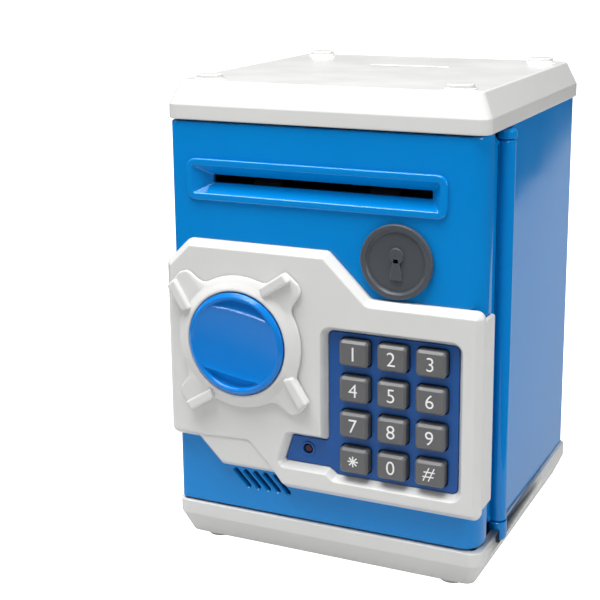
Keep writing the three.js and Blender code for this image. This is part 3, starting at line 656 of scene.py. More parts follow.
@dataclass
class Trays:
    """The lid and the base: two shallow trays with chamfered rims, and four low discs on each."""

    half_width: float = 64.0
    half_depth: float = 63.0
    height: float = 188.0
    disc: float = 2.0
    chamfer: float = 9.0
    inset: float = 4.0
    rim: float = 5.5
    wall: float = 3.2
    floor: float = 2.2
    rim_corner: float = 5.0
    flat_corner: float = 3.5
    coin_slot: tuple[float, float, float, float] = (-13.0, 21.0, 16.2, 20.8)

    def ring(self, inset: float, depth: float) -> np.ndarray:
        """Outline of the tray at a depth from its flat face, its corners opening from the flat's to the rim's."""
        share = min(max(depth / self.chamfer, 0.0), 1.0)
        radius = self.flat_corner + (self.rim_corner - self.flat_corner) * share
        corners = rectangle(inset - self.half_width, self.half_width - inset, inset - self.half_depth,
                            self.half_depth - inset, max(radius - max(inset - self.inset * (1 - share),
                                                                      0.0), 1.2))
        return at_level(outline(corners, 0.0, 8), depth)

    def path(self) -> np.ndarray:
        """Section of the tray, as inset and depth, from the inner floor round the mouth to the flat face."""
        mouth = self.chamfer + self.rim
        return soft_path([
            (self.inset + self.wall + 1.5, self.floor), (self.inset + self.wall - 0.6, self.floor, 1.2),
            (self.wall, self.chamfer, 1.0), (self.wall, mouth, 0.3), (0, mouth, 0.55), (0, self.chamfer, 1.6),
            (self.inset, 0, 0.9), (self.inset + 0.6, 0)], 5)

    def lid(self) -> None:
        """Builds the lid with its coin slot, chute and discs."""
        top = self.height - self.disc
        piece = Moulding("lid", Lying.FLAT)
        rings = np.stack([self.ring(inset, depth) for inset, depth in self.path()])
        rings[..., 2] = top - rings[..., 2]
        slot = rectangle(*self.coin_slot, 2.2)
        edge = soft_path([(0, top - self.floor), (0, top, 0.5), (-0.6, top)], 5)
        piece.skin(rings, [carry(slot, edge)])
        chute = [(0, top - self.floor + 0.2), (0, top - 8.5), (-2, top - 8.5), (-2, top - self.floor + 0.2)]
        piece.skin(carry(slot, chute), looped=True)
        for x, y in self.corners(50, 52):
            path = soft_path([(6.1, top - 0.4), (6.1, top + 0.45, 0.3), (5.05, top + 0.55, 0.3),
                              (5.0, self.height, 0.55),
                              (3.4, self.height)])
            piece.skin(circles(path, (x, y), 48))
        for x, y in self.screws():
            piece.skin(rod(3.4, self.height - 15.5, top - 1.5, (x, y), 28))
            piece.skin(rod(1.3, self.height - 23.5, self.height - 15, (x, y), 20))
        piece.finish(WHITE, "case", ["lid_cover"])

    def base(self, lug: Corners) -> None:
        """Builds the base with its feet, screw wells and the notch that the hinge lug drops into."""
        piece = Moulding("base", Lying.FLAT)
        rings = np.stack([self.ring(inset, depth) for inset, depth in self.path()])[::-1].copy()
        rings[..., 2] += self.disc
        floor = self.disc + self.floor - 0.3
        heads = [circles([(3.25, self.disc), (3.1, self.disc + 0.15), (3.1, 7.0)], xy,
                         32) for xy in self.screws()]
        piece.skin(rings, pockets=heads)
        for xy in self.screws():
            well = [(3.2, floor), (4.3, floor), (4.3, 16.2), (1.65, 16.2), (1.65, 7.2), (3.2, 7.2)]
            piece.skin(circles(well, xy, 32), looped=True)
        for x, y in self.corners(50, 52):
            path = soft_path([(3.4, 0), (5.0, 0, 0.55), (5.05, 1.45, 0.3), (6.1, 1.55, 0.3), (6.1, 2.4)])
            piece.skin(circles(path, (x, y), 48))
        shape = piece.finish(WHITE, "case", ["base_cover"])
        self.notch(shape, lug)

    def notch(self, shape: bpy.types.Object, lug: Corners) -> None:
        """Cuts the notch for the hinge lug out of the base's rim."""
        cutter = Moulding("notch_cutter", Lying.FLAT)
        cutter.skin(lug_rings(lug, 0.35))
        points = (np.concatenate(cutter.points) + DATUM) * MM
        mesh = bpy.data.meshes.new("notch_cutter")
        mesh.from_pydata(points.tolist(), [], [row for faces in cutter.faces for row in faces.tolist()])
        tool = bpy.data.objects.new("notch_cutter", mesh)
        bpy.context.scene.collection.objects.link(tool)
        cut = shape.modifiers.new("notch", "BOOLEAN")
        cut.object = tool
        cut.solver = "EXACT"
        cut.use_self = True
        shape.modifiers.move(1, 0)
        bpy.context.view_layer.update()
        shape.modifiers["face_weights"].show_viewport = False
        made = bpy.data.meshes.new_from_object(shape.evaluated_get(bpy.context.evaluated_depsgraph_get()))
        shape.modifiers.remove(cut)
        shape.modifiers["face_weights"].show_viewport = True
        made.name = "base_notched"
        shape.data = made
        shape.data.set_sharp_from_angle(angle=SHARP_ANGLE)
        bpy.data.objects.remove(tool)

    def corners(self, x: float, y: float) -> list[tuple[float, float]]:
        """The four places that mirror one another across the tray's middle."""
        return [(sx * x, sy * y) for sx in (-1, 1) for sy in (-1, 1)]

    def screws(self) -> list[tuple[float, float]]:
        """Where the four long screws stand."""
        return [tuple(spot(f"base_screw_{k}")[:2]) for k in range(1, 5)]


def lug_rings(plan: Corners, grow: float = 0.0) -> np.ndarray:
    """Rings of the lower hinge lug: its plan carried upwards, cut off behind by a slope.

    A ring's points are its plan's, drawn in near the bottom, with y limited to the slope's y at that height.
    """
    low, high = 11.3 - grow, 19.2 + (6.0 if grow else 0.0)
    levels = np.array([low, low + 0.25, low + 0.9, low + 1.8, 13.5, 15.5, 17.5, 18.4, high - 0.3, high])
    inset = np.array([1.4, 0.75, 0.2, 0, 0, 0, 0, 0, 0, 0.3 if not grow else 0])
    rear = np.interp(levels, [11.3, 17.5], [-31.5, -26.0]) + grow
    rings = np.stack([at_level(outline(plan, i - grow, 5), z) for i, z in zip(inset, levels)])
    rings[..., 1] = np.minimum(rings[..., 1], rear[:, None])
    return rings


@dataclass
class Case:
    """The body shell: side and back walls, front flanges, hinge lugs and screw columns."""

    half_width: float = 62.5
    inner: float = 60.3
    back: float = 61.5
    bottom: float = 16.8
    top: float = 171.2
    left_front: float = -53.7
    right_front: float = -31.6

    def lug_plan(self, hinge: Sequence[float]) -> Corners:
        """Plan of a hinge lug: from the side wall it swells out round the pin."""
        x, y = hinge
        return [(x - 3.6, y - 3.6, 3.5), (x + 3.6, y - 3.6, 3.5), (x + 3.6, y + 1.5, 3.2), (62.55, -27),
                (62.55, -25),
                (60.3, -25), (60.3, -27), (x - 3.6, -30.5)]

    def build(self, hinge: Sequence[float], screws: Sequence[Sequence[float]]) -> None:
        """Builds the whole shell."""
        w, i = self.half_width, self.inner
        plan = [(-w, self.left_front, 0.5), (-57.2, self.left_front, 0.4), (-57.2, -51.9, 0.4),
                (-i, -51.9, 0.4),
                (-i, 59.3, 1.0), (i, 59.3, 1.0), (i, -29.6, 0.4), (57.0, -29.6, 0.4),
                (57.0, self.right_front, 0.4),
                (w, self.right_front, 0.6), (w, self.back, 3.0), (-w, self.back, 3.0)]
        path = soft_path([(0.4, self.bottom), (0, self.bottom + 0.4, 0.3), (0, self.top - 0.4, 0.3),
                          (0.4, self.top)])
        piece = Moulding("case_shell", Lying.FLAT).skin(carry(plan, path, 8))
        for low, high in ((self.bottom, 21.5), (166.5, self.top)):
            piece.block((-i - 0.1, -31.4, low), (i + 0.1, -29.4, high))
        for x, y in screws:
            piece.skin(rod(3.4, self.bottom, self.top, (x, y), 28))
            wall = math.copysign(i + 0.1, x)
            piece.block((min(x, wall), y - 0.8, self.bottom), (max(x, wall), y + 0.8, self.top), 0.2)
        lug = self.lug_plan(hinge)
        upper = soft_path([(0.5, 167.0), (0, 167.4, 0.3), (0, 169.9, 0.7), (0.9, 170.7)])
        piece.skin(carry(lug, upper, 5))
        bore = circles([(1.7, 11.3), (1.35, 11.7), (1.35, 19.2)], hinge, 24)
        piece.skin(lug_rings(lug), [bore])
        piece.finish(BLUE, "case", ["body_shell"])
        refined("hinge_pin", STEEL, "case", 0.15)
        for number in range(1, 5):
            refined(f"base_screw_{number}", STEEL, "case", 0.12)


# ---- the door ----
WINDOW = [(3.6, 96, 2.5), (55.4, 96, 2.5), (55.4, 39, 2.5), (7.3, 39, 1.5), (4.2, 41.3, 1.5), (-15, 41.3, 1),
          (-11.4, 52.5, 1), (3.6, 52.5, 1.5)]


@dataclass
class Door:
    """The blue door shell: face, bill slot, speaker grille, inner walls and hinge barrel."""

    half_width: float = 62.5
    face: float = 62.0
    bottom: float = 17.0
    top: float = 171.0
    thick: float = 2.2
    left_corner: tuple[float, float] = (2.5, 2.5)
    right_corner: tuple[float, float] = (6.0, 8.6)
    left_rim: float = 54.0
    right_rim: float = 51.0
    back: float = 39.1
    bezel: tuple[float, float, float, float] = (-55.5, 49.5, 141.0, 157.0)
    lip: tuple[float, float, float, float] = (-52.8, 46.8, 143.6, 154.4)
    slot: tuple[float, float, float, float] = (-46.0, 42.5, 147.3, 150.5)

    def pan_ring(self, left: Sequence[float], right: Sequence[float], inset_z: float) -> np.ndarray:
        """Ring of the pan from its inset and "out" at either side; between the sides "out" changes evenly."""
        corners = rectangle(left[0] - self.half_width, self.half_width - right[0], self.bottom + inset_z,
                            self.top - inset_z, 0.9)
        points = outline(corners, 0.0, 5)
        share = (points[:, 0] - points[:, 0].min()) / np.ptp(points[:, 0])
        return at_level(points, left[1] + (right[1] - left[1]) * share)

    def pan(self, piece: Moulding, dial: Sequence[float]) -> None:
        """The face with its round front edges, a skirt behind it, and the openings through it."""
        inner = self.face - self.thick
        quarter = np.linspace(0, np.pi / 2, 10)
        rings = []
        for thick, out, order in ((self.thick, inner, -1), (0.0, self.face, 1)):
            turn = []
            for a in quarter[::order]:
                left, right = (np.array([thick + (wide - thick) * (1 - math.cos(a)),
                                         out - (deep - thick) * (1 - math.sin(a))])
                               for wide, deep in (self.left_corner, self.right_corner))
                turn.append(self.pan_ring(left, right, 0.9 * thick + 0.7 * (1 - math.cos(a))))
            rim = self.pan_ring((thick, self.left_rim), (thick, self.right_rim), 0.9 * thick)
            rings += turn + [rim] if thick else [rim] + turn
        depth = [(0, inner), (0, self.face)]
        holes = [carry(rectangle(-53.8, 47.8, 142.9, 155.1, 2), depth),
                 carry(WINDOW, [(-0.6, inner), (-0.6, self.face)]),
                 circles([(4.3, inner), (4.3, self.face)], dial, 32)]
        mouth = soft_path([(0, inner), (0, self.face - 0.5, 0.3), (-0.5, self.face)], 3)
        for k in range(5):
            left = -38.8 + 4.3 * k
            louvre = [(left, 33.5, 0.5), (left + 7, 26.4, 0.7), (left + 9.1, 26.4, 0.7),
                      (left + 2.1, 33.5, 0.5)]
            holes.append(carry(louvre, mouth, 4))
        piece.skin(np.stack(rings), holes)

    def bill_slot(self, piece: Moulding) -> None:
        """Raised frame, funnel and narrow throat of the bill slot, as one looped skin of rectangles."""
        raised = soft_path([(0, 61.0), (0, 63.2, 0.7), (2.0, 63.2)], 4)
        rings = [at_level(outline(rectangle(*self.bezel, 4.0), inset), out) for inset, out in raised[:-1]]
        steps = [(self.lip, 1.2, -0.35, 63.2), (self.lip, 1.2, -0.08, 63.08), (self.lip, 1.0, 0.1, 62.8),
                 (self.slot, 0.6, -0.25, 58.75), (self.slot, 0.5, 0.0, 58.5), (self.slot, 0.5, 0.0, 57.0)]
        rings += [at_level(outline(rectangle(*size, radius), inset), out) for size, radius, inset,
                  out in steps]
        rings += [at_level(outline(rectangle(-52, 48, 143, 155, 2)), out) for out in (57.0, 61.0)]
        piece.skin(np.stack(rings), looped=True)

    def walls(self, piece: Moulding) -> None:
        """The inner walls, in three layers; the middle one leaves the bolt's opening on the left."""
        corners = rectangle(-56.4, 60.4, 19.6, 168.4, 3)
        piece.skin(carry(corners, [(0.3, self.back), (0, self.back + 0.3), (0, 48.9), (2, 48.9),
                                   (2, self.back)]),
                   looped=True)
        piece.skin(carry(corners, [(0, 51.7), (0, 59.0), (2, 59.0), (2, 51.7)]), looped=True)
        opening = [(-56.4, 82.6), (-54.4, 82.6), (-54.4, 21.6, 1), (58.4, 21.6, 1), (58.4, 166.4, 1),
                   (-54.4, 166.4, 1),
                   (-54.4, 93.4), (-56.4, 93.4), (-56.4, 168.4, 3), (60.4, 168.4, 3), (60.4, 19.6, 3),
                   (-56.4, 19.6, 3)]
        piece.skin(carry(opening, [(0, 48.9), (0, 51.7)]))

    def build(self, hinge: Sequence[float], dial: Sequence[float]) -> None:
        """Builds the door shell."""
        piece = Moulding("door")
        self.pan(piece, dial)
        self.bill_slot(piece)
        self.walls(piece)
        piece.skin(tube(3.5, 1.35, 19.6, 166.7, hinge, 56, 0.45), looped=True, lying=Lying.FLAT)
        piece.block((58.4, -self.back - 1.5, 19.7), (60.4, -34.6, 166.6))
        piece.skin(tube(7.0, 4.3, 54.5, 60.2, dial), looped=True)
        for number in range(1, 5):
            x, _, z = spot(f"cover_screw_{number}")
            piece.skin(tube(3.2, 1.5, self.back, 60.2, (x, z), 28), looped=True)
        piece.finish(BLUE, "door", ["door_shell"])


@dataclass
class Fascia:
    """The white fascia on the door's face, which wraps round both of its edges."""

    half_width: float = 64.2
    back: float = 62.3
    shoulder: float = 63.9
    face: float = 66.5
    bevel: float = 2.4
    step: float = 0.55

    def corners(self) -> Corners:
        """Outline of the fascia as seen from the front."""
        w = self.half_width
        return [(w, 30.5, 3), (w, 109.5, 3), (21, 109.5, 2), (4, 126, 3), (-54, 126, 3), (-w, 116, 3),
                (-w, 45.5, 3),
                (-52, 45.5, 2), (-42, 35.5, 2), (-18.5, 35.5, 2), (-13.5, 30.5, 2)]

    def upper_corners(self) -> Corners:
        """Outline of the fascia's upper step, which leaves its lower left part one step lower."""
        return [*self.corners()[:7], (-52, 45.5, 1.0), (-50.4, 47.0, 1.0), (-29.2, 48.0, 1.5),
                (-20.9, 39.9, 2.5),
                (-13.5, 30.5, 1.0)]

    def build(self, dial: Sequence[float]) -> None:
        """Builds the fascia: a full plate one step below the face, and the upper step with its own edge."""
        low = self.face - self.step
        rim = soft_path([(0.1, self.back), (0, 63.1, 0.5), (-2.0, self.face, 0.7), (-3, self.face)], 5)[:-1]
        hole = circles([(4.6, self.back), (4.6, self.face)], dial, 32)
        share = (low - self.shoulder) / (self.face - self.shoulder)
        path = soft_path([(0.04, self.back), (0.04, self.shoulder, 0.9),
                          (self.bevel * share + 0.04, low, 0.9),
                          (self.bevel + 0.8, low)], 5)[:-1]
        under_hole = circles([(4.7, self.back), (4.7, low)], dial, 32)
        under_rim = soft_path([(0.06, self.back), (-0.04, 63.1, 0.5),
                               (-0.04 - 2.0 * (low - 63.1) / (self.face - 63.1), low)], 5)
        piece = Moulding("fascia").skin(carry(self.corners(), path), [carry(WINDOW, under_rim), under_hole])
        path = soft_path([(0, self.back), (0, self.shoulder, 0.9), (self.bevel, self.face, 1.1),
                          (3.4, self.face)], 5)
        upper = self.upper_corners()
        weight = np.array([0.22 if 7 <= side <= 10 else 1.0 for side in range(len(upper))])
        sides = [at_level(outline(upper, inset * weight), out) for inset, out in path[:-1]]
        piece.skin(np.stack(sides), [carry(WINDOW, rim), hole])
        right = soft_path([(0, 62.8), (0, self.half_width - 0.04, 0.6), (0.9, self.half_width - 0.04)])
        left = [(inset, -out) for inset, out in right[::-1]]
        piece.skin(carry(rectangle(-63.3, -51.2, 34, 106, 1.2), right), lying=Lying.SIDE)
        piece.skin(carry(rectangle(-63.3, -54.2, 49, 112, 1.2), left), lying=Lying.SIDE)
        piece.finish(WHITE, "door", ["door_fascia"])


@dataclass
class Keypad:
    """The keypad: a recessed panel with a lamp, and twelve keys with printed signs."""

    width: float = 11.4
    height: float = 9.9
    face: float = 67.0
    panel_face: float = 63.2
    sign_height: float = 5.2

    def signs(self) -> dict[str, str]:
        """The sign printed on each key."""
        return {**{str(n): str(n) for n in range(10)}, "star": "*", "hash": "#"}

    def panel(self, lamp: Sequence[float]) -> None:
        """The panel, with key openings and a raised ring round the lamp; its darker blue is painted shade."""
        edge = soft_path([(0.3, 61.0), (0.3, self.panel_face, 0.3), (0.9, self.panel_face)])
        holes = []
        for name in self.signs():
            x, _, z = spot(f"key_{name}")
            half_w, half_h = self.width / 2 + 0.4, self.height / 2 + 0.4
            mouth = soft_path([(0, 61.0), (0, self.panel_face, 0.25), (-0.4, self.panel_face)])
            holes.append(carry(rectangle(x - half_w, x + half_w, z - half_h, z + half_h, 1.7), mouth, 4))
        holes.append(circles([(2.4, 61.0), (2.4, self.panel_face)], lamp, 32))
        piece = Moulding("keypad_plate").skin(carry(WINDOW, edge), holes)
        ring = soft_path([(2.0, 61.1), (3.0, 61.1), (3.0, 63.0, 0.2), (2.8, 63.7, 0.3), (2.0, 63.7, 0.3),
                          (2.0, 61.2)])
        piece.skin(circles(ring[:-1], lamp, 40), looped=True)
        piece.finish(SHADED_BLUE, "door", ["keypad_panel"])

    def key(self, name: str, sign: str) -> None:
        """One key, with a bevelled and slightly dished cap, and its sign."""
        x, _, z = spot(f"key_{name}")
        corners = rectangle(x - self.width / 2, x + self.width / 2, z - self.height / 2,
                            z + self.height / 2, 1.5)
        path = soft_path([(-0.9, 59.4), (-0.9, 60.3), (0, 60.3), (0, self.face - 1.0, 0.45),
                          (1.0, self.face, 0.4),
                          (1.7, self.face)], 4)
        piece = Moulding(f"key_cap_{name}").skin(carry(corners, path, 5))
        piece.finish(KEY_GREY, f"key_{name}", [f"key_{name}"])
        if sign == "*":
            self.star(x, z)
        else:
            self.sign(name, sign, x, z)

    def letter(self, sign: str) -> tuple[np.ndarray, list[list[int]]]:
        """Points and faces of a sign in the plain font, made a mesh."""
        curve = bpy.data.curves.new("sign", "FONT")
        curve.body = sign
        curve.extrude = 0.02
        curve.offset = -0.006
        text = bpy.data.objects.new("sign", curve)
        bpy.context.scene.collection.objects.link(text)
        bpy.context.view_layer.update()
        mesh = bpy.data.meshes.new_from_object(text.evaluated_get(bpy.context.evaluated_depsgraph_get()))
        points = np.zeros(len(mesh.vertices) * 3)
        mesh.vertices.foreach_get("co", points)
        faces = [list(face.vertices) for face in mesh.polygons]
        bpy.data.objects.remove(text)
        bpy.data.meshes.remove(mesh)
        return points.reshape(-1, 3), faces

    def star(self, x: float, z: float) -> None:
        """The star: tips of eight arms at one radius, and the notches between them at a smaller one."""
        arm = np.radians(45) * np.arange(8)[:, None]
        angle = arm + np.array([-0.12, 0.12, np.radians(22.5)])
        radius = np.array([2.1, 2.1, 0.62])
        flat = np.stack([radius * np.cos(angle), radius * np.sin(angle)], -1).reshape(-1, 2) + [x, z]
        rings = np.stack([at_level(flat, self.face - 0.06), at_level(flat, self.face + 0.1)])
        Moulding("printed_sign_star").skin(rings).finish(KEY_PRINT, "key_star")

    def sign(self, name: str, sign: str, x: float, z: float) -> None:
        """The sign on a key: scaled to its height, centred, slanted if it is the hash, and laid on the face."""
        points, faces = self.letter(sign)
        middle = (points.min(0) + points.max(0)) / 2
        scale = self.sign_height / np.ptp(points[:, 1])
        flat = (points - middle) * [scale, scale, 4.0]
        flat[:, 0] += flat[:, 1] * (0.22 if sign == "#" else 0.0)
        placed = flat @ np.array(Lying.FRONT.value, float) + [x, -self.face - 0.02, z]
        shown(f"printed_sign_{name}", (placed + DATUM) * MM, faces, KEY_PRINT, f"key_{name}")

    def build(self) -> None:
        """Builds the keypad and dresses what lies behind it."""
        x, _, z = spot("status_lamp")
        self.panel((x, z))
        for name, sign in self.signs().items():
            self.key(name, sign)
        refined("status_lamp", LAMP_RED, "door", 0.4)
        refined("keypad_mat", SILICONE, "door", 0.1)
        refined("circuit_board", BOARD_GREEN, "door", 0.1)


@dataclass
class Badge:
    """The round medallion with a keyhole, which has no lettering."""

    radius: float = 13.9
    back: float = 62.3
    rim_face: float = 64.2
    plate_face: float = 63.3

    def build(self) -> None:
        """Builds the medallion: a turned plate with a milled rim, a groove, and a raised keyhole."""
        x, _, z = spot("badge")
        path = soft_path([(13.5, self.back), (13.9, 62.5, 0.2), (13.9, 64.0, 0.25),
                          (13.5, self.rim_face, 0.25),
                          (12.0, self.rim_face, 0.3), (11.5, 63.35, 0.3), (10.9, 63.1, 0.2),
                          (10.3, self.plate_face, 0.3),
                          (9.0, self.plate_face)])
        rings = circles(path, (x, z), 288)
        angle = np.linspace(0, 2 * np.pi, 288, endpoint=False)
        milled = np.clip((path[:, 1] - 62.4) / 0.3, 0, 1) * np.clip((path[:, 0] - 12.4) / 0.4, 0, 1)
        shrink = 1 - 0.011 * milled[:, None] * (0.5 - 0.5 * np.cos(72 * angle))[None, :] ** 2
        rings[..., :2] = (rings[..., :2] - [x, z]) * shrink[..., None] + [x, z]
        piece = Moulding("medallion").skin(rings)
        top = soft_path([(0, 63.1), (0, self.rim_face, 0.3), (0.5, self.rim_face)])
        head = np.stack([2.9 - top[:, 0], top[:, 1]], -1)
        piece.skin(circles(head, (x, z + 2.3), 40))
        stem = [(x - 1.1, z + 1.5, 0.2), (x + 1.1, z + 1.5, 0.2), (x + 2.5, z - 6.6, 0.6),
                (x - 2.5, z - 6.6, 0.6)]
        piece.skin(carry(stem, top))
        piece.finish(BADGE_GREY, "door", ["badge"])


@dataclass
class Dial:
    """The dial: a white ring with four ribbed arms, and a blue cap with two finger hollows."""

    radius: float = 26.0
    arm_turns: tuple[float, ...] = (-40.0, 50.0, 140.0, 230.0)
    bar_half: float = 12.9
    bar_turn: float = -9.0
    hollow: float = 1.9

    def edge(self) -> np.ndarray:
        """Outline of ring and arms: one arm's rounded path and the arc up to the next, four times."""
        side = math.radians(25)
        near = [(self.radius * math.cos(a), self.radius * math.sin(a)) for a in (-side, side)]
        arm = soft_path([near[0], (25.4, -6.9, 4.5), (33.8, -6.2, 2.6), (35.5, -3.0, 1.4), (35.5, 3.4, 1.2),
                         (25.6, 6.7, 3.5), near[1]], 7)
        angle = np.radians(np.linspace(27, 63, 19))
        arc = self.radius * np.stack([np.cos(angle), np.sin(angle)], -1)
        quarter = np.concatenate([arm, arc])
        return np.concatenate([turned(quarter, turn, (0, 0)) for turn in self.arm_turns])

    def ring(self, centre: Sequence[float]) -> None:
        """The ring as one looped skin.

        Near its outer edge the rings are the outline moved inwards along its normals. Over the cone they are
        circles through the same angles, so the cone flows out into the arms.
        """
        edge = self.edge()
        tangent = unit(np.roll(edge, -1, axis=0) - np.roll(edge, 1, axis=0))
        normal = np.stack([-tangent[:, 1], tangent[:, 0]], -1)
        rim = soft_path([(0.6, 66.9), (0, 67.1, 0.2), (0, 68.15, 0.45), (0.75, 68.45)], 5)
        outer = [at_level(edge + normal * inset, out) for inset, out in rim]
        direction = unit(edge)
        cone = [(25.0, 68.72), (24.2, 69.02), (23.2, 69.5), (22.2, 70.02), (21.6, 70.28), (21.2, 70.4),
                (20.8, 70.38),
                (20.55, 70.2), (20.5, 69.9), (20.5, 68.6), (4.3, 68.6), (4.3, 66.9)]
        inner = [at_level(direction * radius, out) for radius, out in cone]
        rings = np.stack(outer + inner)
        rings[..., :2] += np.asarray(centre)
        piece = Moulding("dial_wheel").skin(rings, looped=True)
        rib = [(22.2, 3.6, 0.8), (24.4, 6.9, 1.2), (35.5, 3.7, 0.8), (34.9, -0.5, 0.8)]
        path = soft_path([(0, 67.4), (0, 70.7, 0.5), (0.8, 71.0, 0.5), (1.3, 71.0)], 4)
        for turn in self.arm_turns:
            rings = carry(rib, path)
            rings[..., :2] = turned(rings[..., :2], turn, centre)
            piece.skin(rings)
        piece.finish(WHITE, "dial", ["dial_ring"])

    def cap_top(self, flat: np.ndarray) -> np.ndarray:
        """Height of the cap's top over its plane.

        Inside the rim it is a shallow bowl. Beyond a slightly bowed crest on either side of the middle bar it
        slopes down by the hollow's depth, and it eases back up to the rim all round.
        """
        radius = np.linalg.norm(flat, axis=-1)
        bowl = 70.2 + 1.3 * (radius / 17.6) ** 2
        along, across = np.moveaxis(turned(flat, -self.bar_turn, (0, 0)), -1, 0)
        past = np.abs(across) - self.bar_half + 0.004 * along ** 2
        lift = 0.3 * np.clip(1 + np.minimum(past, 0) / 2.5, 0, 1) ** 2
        inside = np.clip((17.6 - radius) / 0.8, 0, 1)
        fall = (self.hollow + lift) * np.clip(past / 3.4, 0, 1) ** 0.6
        return bowl + (lift - fall) * inside * inside * (3 - 2 * inside)

    def cap(self, centre: Sequence[float]) -> None:
        """The cap as rings about its middle: side wall, rounded rim, then the bowl over radius and angle."""
        wall = soft_path([(19.6, 68.9), (20.0, 69.2, 0.2), (20.0, 70.9, 0.5), (18.7, 72.0, 0.45),
                          (18.2, 72.0, 0.3),
                          (17.6, 71.5)], 5)
        outer = circles(wall, (0, 0), 320)
        inner = circles([(r, 0) for r in np.linspace(17.5, 0.4, 96)], (0, 0), 320)
        inner[..., 2] = self.cap_top(inner[..., :2])
        inner[-1, :, 2] = inner[-1, :, 2].mean()
        rings = np.concatenate([outer, inner])
        rings[..., :2] += np.asarray(centre)
        Moulding("dial_button").skin(rings).finish(CAP_BLUE, "dial", ["dial_cap"])

    def build(self, centre: Sequence[float]) -> None:
        """Builds the dial and dresses its spindle and crank."""
        self.ring(centre)
        self.cap(centre)
        refined("dial_spindle", WHITE, "dial", 0.2)
        refined("latch_crank", WHITE, "dial", 0.25)


@dataclass
class Works:
    """Everything inside the door, dressed from its CAD nodes: finish, body and edge width of each."""

    def parts(self) -> dict[str, tuple[Finish, str, float]]:
        """Finish, body and edge width in millimetres for each node."""
        return {
            "door_inner_cover": (INNER_GREY, "door", 0.35), "battery_lid": (INNER_GREY, "door", 0.3),
            "latch_bolt": (WHITE, "bolt", 0.3), "lock_solenoid": (STEEL, "door", 0.3),
            "lock_plunger": (STEEL, "plunger", 0.2), "feed_frame": (BLACK, "door", 0.2),
            "feed_motor": (STEEL, "door", 0.3), "motor_pinion": (WHITE, "pinion", 0.08),
            "drive_gear": (WHITE, "drive", 0.1), "drive_shaft": (STEEL, "drive", 0.15),
            "pinch_shaft": (STEEL, "pinch", 0.15), "drive_roller_left": (RUBBER, "drive", 0.4),
            "drive_roller_right": (RUBBER, "drive", 0.4), "pinch_roller_left": (RUBBER, "pinch", 0.4),
            "pinch_roller_right": (RUBBER, "pinch", 0.4), "loudspeaker": (BLACK, "door", 0.15),
            "battery_1": (BATTERY, "door", 0.5), "battery_2": (BATTERY, "door", 0.5),
            "battery_3": (BATTERY, "door", 0.5), "battery_contact_top": (STEEL, "door", 0.1),
            "battery_contact_bottom": (STEEL, "door", 0.1), "battery_lid_screw": (STEEL, "door", 0.12),
            **{f"cover_screw_{k}": (STEEL, "door", 0.12) for k in range(1, 5)},
        }

    def build(self) -> None:
        """Dresses every part of the works."""
        for node, (finish, body, edge) in self.parts().items():
            refined(node, finish, body, edge)


